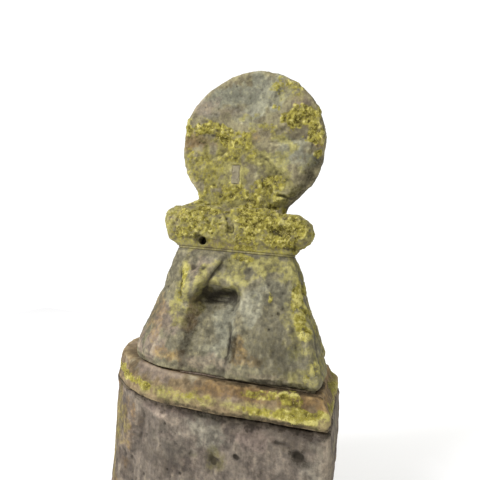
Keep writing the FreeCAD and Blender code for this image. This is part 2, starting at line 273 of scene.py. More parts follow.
def surface_net(values: Array, origin: Array, step: Array) -> tuple[Array, Array]:
    """Meshes the zero level of a field sampled on a grid, with one point in each mixed cell.

    Args:
        values: Field values, negative inside.
        origin: Place of the first sample.
        step: Distance between samples along X, Y and Z.

    Returns:
        Points, and four-sided faces that point outwards.
    """
    inside = values < 0.0
    shape = tuple(size - 1 for size in values.shape)

    def corner_view(grid: Array, corner: tuple[int, int, int]) -> Array:
        """The grid's samples at one corner of every cell."""
        return grid[tuple(slice(c, c + size) for c, size in zip(corner, shape))]

    corners = list(itertools.product((0, 1), repeat=3))
    count = sum(corner_view(inside, corner).astype(np.int8) for corner in corners)
    mixed = (count > 0) & (count < len(corners))
    cells = np.argwhere(mixed)
    index = np.full(shape, -1, np.int64)
    index[mixed] = np.arange(len(cells))

    total = np.zeros((len(cells), 3), np.float64)
    crossings = np.zeros(len(cells), np.int32)
    for axis in range(3):
        for start in corners:
            if start[axis]:
                continue
            end = tuple(1 if k == axis else c for k, c in enumerate(start))
            here = corner_view(values, start)[mixed]
            there = corner_view(values, end)[mixed]
            crosses = (here < 0) != (there < 0)
            share = np.where(crosses, here / np.where(crosses, here - there, 1.0), 0.0)
            place = np.tile(np.array(start, float), (len(cells), 1))
            place[:, axis] = share
            total += place * crosses[:, None]
            crossings += crosses
    points = origin + (cells + total / crossings[:, None]) * step

    faces = []
    for axis in range(3):
        first, second = [k for k in range(3) if k != axis]
        low = [slice(1, -1)] * 3
        low[axis] = slice(0, -1)
        high = list(low)
        high[axis] = slice(1, None)
        here, there = inside[tuple(low)], inside[tuple(high)]
        edge = np.argwhere(here != there)
        outward = here[here != there]
        edge[:, first] += 1
        edge[:, second] += 1
        ring = []
        for a, b in ((-1, -1), (0, -1), (0, 0), (-1, 0)):
            cell = edge.copy()
            cell[:, first] += a
            cell[:, second] += b
            ring.append(index[cell[:, 0], cell[:, 1], cell[:, 2]])
        ring = np.stack(ring, axis=1)
        flip = outward if axis == 1 else ~outward
        ring[flip] = ring[flip][:, ::-1]
        faces.append(ring)
    return points, np.concatenate(faces)


def new_mesh(name: str, points: Array, faces: list | Array, flat: Array | None = None) -> bpy.types.Object:
    """Makes a smooth-shaded object at the origin from points in millimetres.

    Args:
        name: Name of the piece.
        points: Points in millimetres.
        faces: Faces by point number.
        flat: Marks the faces that keep a crisp edge, if there are any.

    Returns:
        The object, linked to the scene.
    """
    mesh = bpy.data.meshes.new(name)
    rows = faces.tolist() if isinstance(faces, np.ndarray) else faces
    mesh.from_pydata((points / METRE).tolist(), [], rows)
    smooth = np.ones(len(mesh.polygons), bool) if flat is None else ~flat
    mesh.polygons.foreach_set("use_smooth", smooth)
    mesh.validate()
    piece = bpy.data.objects.new(name, mesh)
    bpy.context.scene.collection.objects.link(piece)
    return piece


def paint(piece: bpy.types.Object, name: str, values: Array) -> None:
    """Stores one number for each point under a name that the finishes read."""
    layer = piece.data.attributes.new(name, "FLOAT", "POINT")
    layer.data.foreach_set("value", np.ascontiguousarray(values, np.float32))


def hollowness(points: Array, faces: Array, rounds: int) -> Array:
    """Tells how far each point lies in a hollow.

    Args:
        points: Mesh points.
        faces: Four-sided faces.
        rounds: Rounds of smoothing, more for wider hollows.

    Returns:
        Depth in millimetres, above 0 in hollows and below 0 on arrises.
    """
    a = faces.ravel()
    b = np.roll(faces, -1, axis=1).ravel()
    starts, ends = np.concatenate([a, b]), np.concatenate([b, a])
    share = 1.0 / np.maximum(np.bincount(starts, minlength=len(points)), 1)
    smooth = points.copy()
    for _ in range(rounds):
        sums = [np.bincount(starts, smooth[ends, k], len(points)) * share for k in range(3)]
        smooth = np.stack(sums, axis=1)
    return np.einsum("ij,ij->i", smooth - points, point_normals(points, faces))


def point_normals(points: Array, faces: Array) -> Array:
    """Outward unit normals of a mesh's points."""
    first = points[faces[:, 2]] - points[faces[:, 0]]
    second = points[faces[:, 3]] - points[faces[:, 1]]
    cross = np.cross(first, second)
    sums = [np.bincount(faces.ravel(), np.repeat(cross[:, k], 4), len(points)) for k in range(3)]
    normal = np.stack(sums, axis=1)
    return normal / np.maximum(np.linalg.norm(normal, axis=1, keepdims=True), 1e-9)


# ---------------------------------------------------------------- growths and finishes
class Growth(Enum):
    """What grows or lies on the stone, each stored as a point attribute of this name."""

    LICHEN = "lichen"
    OLIVE = "olive"
    PALE = "pale"
    MAUVE = "mauve"
    OCHRE = "ochre"
    # Real grime and stains, and also painted shade and shadow under overhangs, in niches and on undersides.
    GRIME_AND_SHADE = "grime"


class Face(Enum):
    """Which side of the sundial a patch lies on."""

    FRONT = -1.0
    BACK = 1.0


@dataclass(frozen=True)
class Spot:
    """A soft oval on the front of a stone.

    Attributes:
        x: Its middle in X, millimetres.
        z: Its middle in Z.
        wide: Half its width.
        high: Half its height.
    """

    x: float
    z: float
    wide: float
    high: float

    def away(self, x: Array, z: Array) -> Array:
        """Distance from its middle, where 1 is its edge."""
        return np.hypot((x - self.x) / self.wide, (z - self.z) / self.high)


@dataclass(frozen=True)
class Patch:
    """One soft-edged patch of growth or of painted shade, seen from the front or the back.

    Attributes:
        growth: What grows there.
        x: Middle of the patch in X, millimetres.
        z: Middle of the patch in Z.
        wide: Half its width.
        high: Half its height.
        amount: Cover in its middle, from 0 to 1.
        face: Side that it lies on.
    """

    growth: Growth
    x: float
    z: float
    wide: float
    high: float
    amount: float = 1.0
    face: Face = Face.FRONT

    FRAY = 0.75
    BARE, FULL = 1.35, 0.45

    def cover(self, points: Array, facing: Array, ragged: Array) -> Array:
        """Grades the patch.

        Args:
            points: Points in millimetres.
            facing: How far each point faces the patch's side, from 0 to 1.
            ragged: Noise that frays the patch's edge.

        Returns:
            Cover at each point, from 0 to the patch's amount.
        """
        away = Spot(self.x, self.z, self.wide, self.high).away(points[:, 0], points[:, 2])
        return self.amount * facing * ease(away + self.FRAY * ragged, self.BARE, self.FULL)


@dataclass(frozen=True)
class Shade:
    """Two colours that a finish wanders between.

    Attributes:
        dark: The darker colour.
        light: The lighter colour.
    """

    dark: Colour
    light: Colour


class NodeSheet:
    """Short ways to write a material's nodes."""

    def __init__(self, name: str) -> None:
        """Starts a material with a shader and object coordinates.

        Args:
            name: Name of the material.
        """
        self.material = bpy.data.materials.new(name)
        self.material.use_nodes = True
        self.nodes = self.material.node_tree.nodes
        self.links = self.material.node_tree.links
        self.shader = self.nodes["Principled BSDF"]
        self.place = self.nodes.new("ShaderNodeTexCoord").outputs["Object"]

    def feed(self, socket: bpy.types.NodeSocket, value: object) -> None:
        """Links a socket to another, or sets its number or colour."""
        if isinstance(value, bpy.types.NodeSocket):
            self.links.new(value, socket)
        elif isinstance(value, tuple):
            opaque = (1.0,) * (len(socket.default_value) - len(value))
            socket.default_value = value + opaque
        else:
            socket.default_value = value

    def noise(self, scale: float, detail: float = 3.0, rough: float = 0.6) -> bpy.types.NodeSocket:
        """Smooth noise around 0.5.

        Args:
            scale: Cells to the metre.
            detail: Number of finer layers.
            rough: Strength of the finer layers.

        Returns:
            The noise socket.
        """
        node = self.nodes.new("ShaderNodeTexNoise")
        self.feed(node.inputs["Vector"], self.place)
        self.feed(node.inputs["Scale"], scale)
        self.feed(node.inputs["Detail"], detail)
        self.feed(node.inputs["Roughness"], rough)
        return node.outputs["Fac"]

    def streaks(self, across: float, along: float) -> bpy.types.NodeSocket:
        """Noise drawn out along Z, as rain leaves it.

        Args:
            across: Cells to the metre across the streaks.
            along: Cells to the metre along them.

        Returns:
            The noise socket.
        """
        mapping = self.nodes.new("ShaderNodeMapping")
        self.feed(mapping.inputs["Vector"], self.place)
        self.feed(mapping.inputs["Scale"], (across, across, along))
        node = self.nodes.new("ShaderNodeTexNoise")
        self.feed(node.inputs["Vector"], mapping.outputs["Vector"])
        self.feed(node.inputs["Scale"], 1.0)
        self.feed(node.inputs["Detail"], 3.0)
        return node.outputs["Fac"]

    def cells(self, scale: float, output: str = "Distance") -> bpy.types.NodeSocket:
        """Grains of stone or lichen.

        Args:
            scale: Grains to the metre.
            output: Distance for a dome on each grain, or Color for a random tint.

        Returns:
            The chosen socket.
        """
        node = self.nodes.new("ShaderNodeTexVoronoi")
        self.feed(node.inputs["Vector"], self.place)
        self.feed(node.inputs["Scale"], scale)
        return node.outputs[output]

    def attribute(self, name: str) -> bpy.types.NodeSocket:
        """A painted point attribute."""
        node = self.nodes.new("ShaderNodeAttribute")
        node.attribute_name = name
        return node.outputs["Fac"]

    def maths(self, kind: str, a: object, b: object = 0.0) -> bpy.types.NodeSocket:
        """One sum on two values."""
        node = self.nodes.new("ShaderNodeMath")
        node.operation = kind
        self.feed(node.inputs[0], a)
        self.feed(node.inputs[1], b)
        return node.outputs[0]

    def grade(
        self, value: object, start: float, end: float, low: float = 0.0, high: float = 1.0
    ) -> bpy.types.NodeSocket:
        """Maps a range of a value onto another, with smooth ends.

        Args:
            value: Socket to grade.
            start: Value that gives low.
            end: Value that gives high.
            low: Result before start.
            high: Result after end.

        Returns:
            The graded socket.
        """
        node = self.nodes.new("ShaderNodeMapRange")
        node.interpolation_type = "SMOOTHSTEP"
        names = ("Value", "From Min", "From Max", "To Min", "To Max")
        for name, setting in zip(names, (value, start, end, low, high)):
            self.feed(node.inputs[name], setting)
        return node.outputs["Result"]

    def blend(self, share: object, a: object, b: object, kind: str = "MIX") -> bpy.types.NodeSocket:
        """Blends two colours.

        Args:
            share: How much of the second colour.
            a: First colour.
            b: Second colour.
            kind: How they blend.

        Returns:
            The blended colour.
        """
        node = self.nodes.new("ShaderNodeMix")
        node.data_type = "RGBA"
        node.blend_type = kind
        self.feed(node.inputs[0], share)
        self.feed(node.inputs[6], a)
        self.feed(node.inputs[7], b)
        return node.outputs[2]

    def bump(
        self, height: object, strength: float, distance: float, under: object = None
    ) -> bpy.types.NodeSocket:
        """Bump from a height.

        Args:
            height: Height socket.
            strength: Strength from 0 to 1.
            distance: Height of the relief in metres.
            under: Bump that this one lies on.

        Returns:
            The normal socket.
        """
        node = self.nodes.new("ShaderNodeBump")
        self.feed(node.inputs["Height"], height)
        self.feed(node.inputs["Strength"], strength)
        self.feed(node.inputs["Distance"], distance)
        if under is not None:
            self.feed(node.inputs["Normal"], under)
        return node.outputs["Normal"]

    def finish(
        self, colour: object, roughness: object, normal: object, metallic: float = 0.0
    ) -> bpy.types.Material:
        """Wires the shader and gives the material.

        Args:
            colour: Base colour.
            roughness: Roughness from 0 to 1.
            normal: Normal after the bumps.
            metallic: 1 for bare metal.

        Returns:
            The material.
        """
        self.feed(self.shader.inputs["Base Color"], colour)
        self.feed(self.shader.inputs["Roughness"], roughness)
        self.feed(self.shader.inputs["Normal"], normal)
        self.feed(self.shader.inputs["Metallic"], metallic)
        return self.material


@dataclass(frozen=True)
class WeatheredStone:
    """Sandstone with its growths, read from the point attributes, with painted shade in hollows and painted
    highlight on ridges.

    Attributes:
        name: Name of the material.
        body: Colours of the bare stone.
        streaked: How strongly rain streaks show, from 0 to 1.
        pitted: How strongly dark pits show, from 0 to 1.
    """

    name: str
    body: Shade
    streaked: float = 0.3
    pitted: float = 0.5

    PALE = Shade(tone(128, 129, 112), tone(172, 171, 150))
    MAUVE = Shade(tone(126, 110, 100), tone(162, 145, 130))
    OCHRE = Shade(tone(108, 84, 54), tone(156, 124, 82))
    OLIVE = Shade(tone(118, 111, 62), tone(186, 178, 106))
    CRUST = Shade(tone(106, 97, 34), tone(170, 160, 68))
    # Painted highlight colour for the crests of the lichen crust.
    CREST_HIGHLIGHT: Colour = tone(222, 212, 128)
    # Painted highlight colour for ridges and arrises.
    RIDGE_HIGHLIGHT: Colour = (1.0, 0.98, 0.9)
    # Dark colour for real grime and specks, and for painted shade in hollows.
    GRIME_AND_SHADE: Colour = tone(46, 41, 31)

    def make(self) -> bpy.types.Material:
        """Builds the nodes.

        Returns:
            The material.
        """
        sheet = NodeSheet(self.name)
        broad = sheet.noise(16.0, 4.0)
        mottle = sheet.noise(85.0, 5.0, 0.65)
        clump = sheet.noise(220.0, 4.0, 0.65)
        fine = sheet.noise(540.0, 3.0, 0.7)
        tint = sheet.cells(210.0, "Color")
        streak = sheet.streaks(230.0, 26.0)
        hollow = sheet.attribute("hollow")

        uneven = sheet.maths("MULTIPLY", sheet.maths("ADD", mottle, broad), 0.5)
        colour = sheet.blend(sheet.grade(uneven, 0.36, 0.64), self.body.dark, self.body.light)
        washed = sheet.grade(streak, 0.62, 0.4, 0.0, 0.5 * self.streaked)
        colour = sheet.blend(washed, colour, self.body.dark, "MULTIPLY")
        patchy = sheet.grade(mottle, 0.3, 0.7, 0.5, 1.4)
        patchy = sheet.maths("MULTIPLY", patchy, sheet.grade(clump, 0.3, 0.7, 0.7, 1.25))
        for growth, shade in (
            (Growth.PALE, self.PALE),
            (Growth.MAUVE, self.MAUVE),
            (Growth.OCHRE, self.OCHRE),
            (Growth.OLIVE, self.OLIVE),
        ):
            share = sheet.maths("MULTIPLY", sheet.attribute(growth.value), patchy)
            layer = sheet.blend(sheet.grade(uneven, 0.36, 0.64), shade.dark, shade.light)
            colour = sheet.blend(sheet.grade(share, 0.0, 1.0, 0.0, 0.9), colour, layer)

        speck = sheet.grade(sheet.noise(250.0, 3.0), 0.6, 0.74, 0.0, 0.5 * self.pitted)
        colour = sheet.blend(speck, colour, self.GRIME_AND_SHADE)
        # Painted shade: hollows are darkened towards the dark grime and shade colour.
        colour = sheet.blend(sheet.grade(hollow, 0.1, 1.6, 0.0, 0.75), colour, self.GRIME_AND_SHADE)
        # Painted highlight: ridges and arrises, where the hollow value is below 0, are lightened.
        ridge_highlight = sheet.grade(hollow, -0.1, -1.2, 0.0, 0.6)
        colour = sheet.blend(ridge_highlight, colour, self.RIDGE_HIGHLIGHT, "SOFT_LIGHT")
        # Painted shade and shadow, together with real grime, from the grime and shade attribute.
        grime = sheet.maths("MULTIPLY", sheet.attribute(Growth.GRIME_AND_SHADE.value), patchy)
        colour = sheet.blend(sheet.grade(grime, 0.0, 1.1, 0.0, 0.85), colour, self.GRIME_AND_SHADE)

        thick = sheet.maths("MULTIPLY", sheet.attribute(Growth.LICHEN.value), patchy)
        thick = sheet.maths("MULTIPLY", thick, sheet.grade(fine, 0.3, 0.7, 0.7, 1.3))
        # Lichen hue: the crest value paints hollows darker and crests lighter as shade and highlight, mixed
        # with random clump tone; the deepest hollows get the dark grime and shade colour.
        crest = sheet.maths("ADD", hollow, sheet.grade(clump, 0.3, 0.7, 0.45, -0.45))
        hue = sheet.blend(sheet.grade(crest, 0.7, -0.7), self.CRUST.dark, self.CRUST.light)
        hue = sheet.blend(sheet.grade(tint, 0.6, 1.0, 0.0, 0.35), hue, self.OLIVE.light)
        hue = sheet.blend(sheet.grade(crest, -0.6, -1.4, 0.0, 0.8), hue, self.CREST_HIGHLIGHT)
        hue = sheet.blend(sheet.grade(crest, 0.7, 2.2, 0.0, 0.5), hue, self.GRIME_AND_SHADE)
        colour = sheet.blend(sheet.grade(thick, 0.25, 0.65, 0.0, 0.95), colour, hue)
        tonal = sheet.grade(sheet.noise(120.0, 4.0, 0.7), 0.3, 0.7, 0.86, 1.1)
        tonal = sheet.maths("MULTIPLY", tonal, sheet.grade(sheet.noise(34.0, 3.0), 0.3, 0.7, 0.82, 1.12))
        colour = sheet.blend(1.0, colour, tonal, "MULTIPLY")

        relief = sheet.bump(clump, 0.6, 0.004)
        relief = sheet.bump(fine, 0.55, 0.0014, relief)
        relief = sheet.bump(streak, 0.3 * self.streaked, 0.0015, relief)
        sheet.shader.inputs["Specular IOR Level"].default_value = 0.25
        return sheet.finish(colour, sheet.grade(mottle, 0.3, 0.7, 0.82, 0.97), relief)


@dataclass(frozen=True)
class PlainFinish:
    """Mortar, lead, iron or lichen: two colours, a bump and a roughness that wander together.

    Attributes:
        name: Name of the material.
        shade: Its colours.
        grain: Noise cells to the metre.
        rough: Lowest and highest roughness.
        relief: Height of its bump in metres.
        metallic: 1 for bare metal.
        stain: Colour of its scattered stains.
    """

    name: str
    shade: Shade
    grain: float
    rough: tuple[float, float]
    relief: float
    metallic: float
    stain: Colour

    def make(self) -> bpy.types.Material:
        """Builds the nodes.

        Returns:
            The material.
        """
        sheet = NodeSheet(self.name)
        coarse = sheet.noise(self.grain, 5.0, 0.65)
        fine = sheet.noise(self.grain * 6.0, 3.0)
        colour = sheet.blend(sheet.grade(coarse, 0.35, 0.65), self.shade.dark, self.shade.light)
        colour = sheet.blend(sheet.grade(fine, 0.52, 0.68, 0.0, 0.6), colour, self.stain)
        relief = sheet.bump(fine, 0.5, self.relief)
        relief = sheet.bump(coarse, 0.4, self.relief * 2.0, relief)
        return sheet.finish(colour, sheet.grade(coarse, 0.3, 0.7, *self.rough), relief, self.metallic)


class Finishes:
    """Every material, made once."""

    def __init__(self) -> None:
        """Makes the materials."""
        buff = Shade(tone(116, 107, 84), tone(164, 155, 122))
        # The grey, taupe and tan shades of the lower stones are set darker than the buff of the upper ones,
        # partly as painted shade for light that falls off towards the bottom.
        grey = Shade(tone(100, 96, 78), tone(146, 141, 118))
        taupe = Shade(tone(96, 88, 78), tone(138, 129, 114))
        tan = Shade(tone(108, 92, 66), tone(152, 134, 102))
        self.dial = WeatheredStone("dial_sandstone", buff, 0.1, 0.5).make()
        self.capital = WeatheredStone("capital_sandstone", buff, 0.1, 0.6).make()
        self.bell = WeatheredStone("bell_sandstone", grey, 0.35, 0.8).make()
        self.ledge = WeatheredStone("ledge_sandstone", tan, 0.15, 0.5).make()
        self.die = WeatheredStone("die_sandstone", taupe, 0.5, 0.6).make()
        lime = Shade(tone(112, 103, 84), tone(156, 146, 122))
        self.mortar = WeatheredStone("weathered_mortar", lime, 0.0, 0.5).make()
        dull_lead = Shade(tone(126, 117, 92), tone(158, 149, 118))
        self.lead = PlainFinish(
            "dressed_lead", dull_lead, 110.0, (0.6, 0.85), 0.0008, 0.1, tone(148, 140, 84)
        ).make()
        rust = Shade(tone(58, 38, 30), tone(112, 66, 42))
        self.iron = PlainFinish(
            "rusted_iron", rust, 140.0, (0.7, 0.95), 0.0005, 0.2, tone(36, 30, 28)
        ).make()
        lemon = Shade(tone(126, 116, 46), tone(208, 196, 112))
        self.tufts = PlainFinish(
            "lichen_tufts", lemon, 300.0, (0.85, 1.0), 0.0004, 0.0, tone(104, 94, 36)
        ).make()


# ---------------------------------------------------------------- carved stones
@dataclass
class Carving:
    """A piece carved out of a distance field, in place of its CAD node.

    Attributes:
        node: CAD node that it stands for.
        slot: Label for its kind of finish; not used.
        material: Its material.
        step: Size of a grid cell in millimetres, along X, Y and Z.
        seed: Seed of its noise.
        bars: Round CAD nodes that sit in it upright, whose sockets are cut.
        base: Growth that covers all of it thinly.
        patches: Growth that lies in places.
        margin: Room left around the CAD box.
        rounds: Rounds of smoothing that find its hollows.
        seams: Height, middle and half width in X of each joint where it runs on into its neighbour.
    """

    node: str
    slot: str
    material: bpy.types.Material
    step: tuple[float, float, float]
    seed: int
    bars: tuple[str, ...] = ()
    base: dict[Growth, float] = field(default_factory=dict)
    patches: tuple[Patch, ...] = ()
    margin: float = 6.0
    rounds: int = 9
    seams: tuple[tuple[float, float, float], ...] = ()

    WORN_DEPTH = 17.0
    SPARE = 4.0
    FRAY_GRAIN = 20.0
    FLAT_WITHIN = 0.3
    BROAD_HOLLOWS = 0.3
    OPEN_AIR = -4.0
    # Direction and strength of painted shade on points that face down and to the right, away from the light.
    DOWNWARDS = np.array((0.5, 0.0, -0.866))
    UNDERSIDE_SHADE = 0.5
    SEAM_NOISE = StoneNoise(2)
    SEAM_GRAIN = 34.0
    SEAM_WEAR = 2.6
    SEAM_CORNER = 13.0

    def __post_init__(self) -> None:
        """Reads the CAD node's box and draws the noise."""
        self.low, self.high = node_box(self.node)
        self.noise = StoneNoise(self.seed)

    def form(self, points: Array) -> Array:
        """Distance to the dressed shape, as the mason left it."""
        raise NotImplementedError

    def wear(self, points: Array) -> Array:
        """Depth lost at each point near the surface; less than 0 where growth stands proud."""
        raise NotImplementedError

    def settle(self, points: Array, depth: Array) -> Array:
        """Gives the wear that neighbours share where they run on into each other.

        Args:
            points: Points near the surface.
            depth: The piece's own wear.

        Returns:
            Its wear with the seams evened out.
        """
        x, y, z = points.T
        shared = 1.0 + self.SEAM_WEAR * self.SEAM_NOISE.layered(points, self.SEAM_GRAIN, 3)
        shared = shared + self.SEAM_CORNER * ease(x, 80.0, 134.0) * ease(y, -30.0, 60.0)
        for level, middle, half in self.seams:
            beside = ease(np.abs(x - middle), half + 12.0, half - 8.0)
            near = ease(np.abs(z - level), 16.0, 4.0) * beside
            depth = depth + (shared - depth) * near
        return depth

    def seats(self, points: Array) -> Array:
        """Distance to the room between the joints above and below, which wear can't fill."""
        z = points[:, 2]
        return np.maximum(self.low[2] - z, z - self.high[2])

    def sockets(self, points: Array, distance: Array) -> Array:
        """Cuts the upright sockets.

        Args:
            points: Grid points.
            distance: Distance to the stone.

        Returns:
            The distance with the sockets cut.
        """
        for bar in self.bars:
            low, high = node_box(bar)
            centre, half = (low + high) / 2.0, (high - low) / 2.0
            shank = np.hypot(points[:, 0] - centre[0], points[:, 1] - centre[1]) - half[0]
            ends = np.abs(points[:, 2] - centre[2]) - half[2]
            distance = np.maximum(distance, -np.maximum(shank, ends))
        return distance

    def crust(self, points: Array, growth: Growth) -> Array:
        """Cover of one growth near the surface, before the mesh is there.

        Args:
            points: Points near the surface.
            growth: The growth.

        Returns:
            Cover from 0 to 1.
        """
        cover = np.full(len(points), self.base.get(growth, 0.0), np.float32)
        ragged = self.noise.layered(points, self.FRAY_GRAIN, 3)
        middle = (self.low[1] + self.high[1]) / 2.0
        for patch in self.patches:
            if patch.growth is growth:
                side = ease((points[:, 1] - middle) * patch.face.value, -10.0, 10.0)
                cover = np.maximum(cover, patch.cover(points, side, ragged))
        return cover

    def build(self) -> bpy.types.Object:
        """Carves the piece, paints its growths and hands it to the frame.

        Returns:
            The finished piece.
        """
        step = np.array(self.step)
        origin = self.low - self.margin
        counts = np.ceil((self.high - self.low + 2.0 * self.margin) / step).astype(int) + 1
        axes = []
        for start, pitch, count in zip(origin, step, counts):
            axes.append((start + pitch * np.arange(count)).astype(np.float32))
        grid = np.stack(np.meshgrid(*axes, indexing="ij"), axis=-1).reshape(-1, 3)
        distance = self.form(grid)
        near = np.abs(distance) < self.WORN_DEPTH
        distance[near] += self.settle(grid[near], self.wear(grid[near]))
        distance = np.maximum(distance, self.seats(grid))
        distance = self.sockets(grid, distance)
        points, faces = surface_net(distance.reshape(counts), origin, step)
        height = points[faces][:, :, 2]
        seated = [
            (np.abs(height - level) < self.FLAT_WITHIN).all(axis=1) for level in (self.low[2], self.high[2])
        ]
        piece = new_mesh(f"{self.node}_carved", points, faces, seated[0] | seated[1])
        self.paint_growths(piece, points, faces)
        piece.data.materials.append(self.material)
        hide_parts(self.node)
        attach(piece, "root")
        return piece

    def paint_growths(self, piece: bpy.types.Object, points: Array, faces: Array) -> None:
        """Stores every growth and the hollows as point attributes, with painted shade on undersides added to
        the grime and shade cover.

        Args:
            piece: The carved piece.
            points: Its points in millimetres.
            faces: Its faces.
        """
        normals = point_normals(points, faces)
        ragged = self.noise.layered(points, self.FRAY_GRAIN, 3)
        clear = np.full(len(points), self.OPEN_AIR, np.float32)
        open_air = ease(self.sockets(points, clear), 2.0, -2.0)
        along = np.zeros(len(points), np.float32)
        for level, middle, half in self.seams:
            beside = ease(np.abs(points[:, 0] - middle), half + 12.0, half)
            along += ease(np.abs(points[:, 2] - level), 9.0, 4.0) * beside
        # Painted shade on undersides and right-facing sides, added to the grime and shade cover.
        under = self.UNDERSIDE_SHADE * ease(normals @ self.DOWNWARDS, 0.25, 0.85) * (1.0 - along)
        for growth in Growth:
            cover = np.full(len(points), self.base.get(growth, 0.0), np.float32)
            if growth is Growth.GRIME_AND_SHADE:
                cover = cover + under
            for patch in self.patches:
                if patch.growth is growth:
                    facing = ease(normals[:, 1] * patch.face.value, -0.45, 0.1)
                    cover = np.maximum(cover, patch.cover(points, facing, ragged))
            paint(piece, growth.value, cover * open_air)
        hollow = hollowness(points, faces, self.rounds)
        hollow = hollow + self.BROAD_HOLLOWS * hollowness(points, faces, 6 * self.rounds)
        paint(piece, "hollow", hollow * (1.0 - along))

    def granules(self, points: Array, growth: Growth, height: float, grain: float) -> Array:
        """Grainy relief where a growth is thick.

        Args:
            points: Points near the surface.
            growth: The growth.
            height: Height of the grains in millimetres.
            grain: Width of one grain.

        Returns:
            Depth to take off, less than 0 on the grains.
        """
        bumps = self.noise.value(points, grain) + 0.45 * self.noise.value(points + 31.0, grain * 0.4)
        return -height * ease(self.crust(points, growth), 0.15, 0.8) * (0.35 + bumps)


def front(growth: Growth, *spots: tuple[float, ...]) -> tuple[Patch, ...]:
    """Makes patches of one growth on the front, each from x, z, wide, high and amount."""
    return tuple(Patch(growth, *spot) for spot in spots)


def back(growth: Growth, *spots: tuple[float, ...]) -> tuple[Patch, ...]:
    """Makes patches of one growth on the back, each from x, z, wide, high and amount."""
    return tuple(Patch(growth, *spot, face=Face.BACK) for spot in spots)


@dataclass
class Die(Carving):
    """The pedestal's die, with a proud swept cheek and a sunk, rain-streaked panel."""

    SUNK = 14.0
    CHEEK = 230.0
    CORNER = 12.0
    PANEL_FROM = 88.0
    PANEL_SWEEP = 48.0
    SWEEP_START = 116.0
    GRAIN = 58.0
    WEAR = 3.2
    HOLLOWS = (
        (Spot(80.0, 173.0, 6.0, 5.0), 5.0),
        (Spot(184.0, 196.0, 13.0, 8.0), 5.0),
        (Spot(150.0, 212.0, 12.0, 6.0), 3.0),
        (Spot(40.0, 160.0, 14.0, 8.0), 3.0),
    )
    PITTED = Spot(-70.0, 130.0, 90.0, 80.0)
    BORE_RADIUS = 14.0
    BORE_DEEP = 90.0

    def form(self, points: Array) -> Array:
        """Block on the cheek's side of the panel's edge, sunk core on the other."""
        x, y, z = points.T
        left, right, rear = self.low[0], self.high[0], self.high[1]
        sweep = np.clip((z - self.SWEEP_START) / (self.high[2] - self.SWEEP_START), 0.0, 1.0)
        edge = left + self.PANEL_FROM + self.PANEL_SWEEP * sweep
        proud = plan_distance(x, y, left, right, -rear, rear, self.CHEEK, self.CORNER)
        core = plan_distance(
            x, y, left + self.SUNK, right, self.SUNK - rear, rear, self.CHEEK - self.SUNK, self.CORNER
        )
        side = proud + (core - proud) * ease(x - edge, -26.0, 24.0)
        return meet(side, z - self.high[2] - self.SPARE, 3.0 + 2.0 * ease(x, -160.0, -120.0))

    def wear(self, points: Array) -> Array:
        """Rain streaks, pits and rounded hollows."""
        x, y, z = points.T
        depth = 1.0 + self.WEAR * self.noise.layered(points, self.GRAIN, 5, 0.6)
        depth += 0.9 * self.noise.value(points, (8.0, 8.0, 40.0))
        depth += 0.6 * self.noise.value(points, 6.0)
        depth += 3.5 * ease(x, -150.0, -215.0) * ease(z, 220.0, 60.0)
        depth -= 4.5 * ease(x, 190.0, 226.0) * ease(z, 240.0, 190.0)
        throat = ease(z, 212.0, 238.0) * ease(x, -120.0, -50.0) * ease(x, 226.0, 200.0)
        depth += 6.0 * throat * (y < 0.0)
        low_left = ease(self.PITTED.away(x, z), 1.3, 0.5)
        depth += (0.6 + 2.8 * low_left) * self.noise.pits(points, 13.0, 0.5)
        for spot, deep in self.HOLLOWS:
            away = spot.away(x, z) + 0.4 * self.noise.value(points, 7.0)
            depth += deep * ease(away, 1.3, 0.2) * (y < 0.0)
        return depth

    def sockets(self, points: Array, distance: Array) -> Array:
        """Cuts the dowel sockets and the foot's bore."""
        distance = super().sockets(points, distance)
        bore = np.hypot(points[:, 0], points[:, 1]) - self.BORE_RADIUS
        return np.maximum(distance, -np.maximum(bore, points[:, 2] - self.BORE_DEEP))


@dataclass
class Ledge(Carving):
    """The weathered moulding between the die and the bell."""

    ARRIS = 18.0
    RUN = 18.0
    CHEEK = 230.0
    CORNER = 12.0
    SHOULDER = 9.0
    LEAN = 0.88
    GRAIN = 46.0
    WEAR = 3.4
    LOST_CORNER = 11.0
    CHIPS = 2.6

    def form(self, points: Array) -> Array:
        """Upright fascia under a sloped weathering."""
        x, y, z = points.T
        low, high = self.low, self.high
        plan = plan_distance(x, y, low[0], high[0], low[1], high[1], self.CHEEK, self.CORNER)
        rise = high[2] - low[2] - self.ARRIS
        shoulder = ease(x, -120.0, -190.0)
        run = self.RUN - self.SHOULDER * shoulder
        lean = (plan + run * (z - low[2] - self.ARRIS - self.SHOULDER * shoulder) / rise) * self.LEAN
        side = meet(plan, lean, 7.0 - 2.0 * shoulder + 2.0 * self.noise.value(points, 40.0))
        eased = 4.0 + 8.0 * ease(x, -130.0, -20.0) + 12.0 * ease(x, 60.0, 215.0)
        return meet(meet(side, z - high[2] - self.SPARE, 8.0), low[2] - z - self.SPARE, eased)

    def wear(self, points: Array) -> Array:
        """Broad undulation, chips along the arris and lichen grains."""
        x, y, z = points.T
        depth = 0.6 + self.WEAR * self.noise.layered(points, self.GRAIN, 5, 0.6)
        depth += 0.7 * self.noise.value(points, 5.5)
        depth += self.LOST_CORNER * ease(x, 170.0, 224.0) * ease(y, -60.0, 60.0) * ease(z, 262.0, 282.0)
        arris = ease(np.abs(z - self.low[2] - self.ARRIS), 12.0, 2.0)
        depth += arris * self.CHIPS * ease(self.noise.value(points, 13.0), 0.25, 0.8)
        depth += self.noise.pits(points, 15.0, 0.3) * 1.6
        return depth + self.granules(points, Growth.LICHEN, 1.2, 9.0)


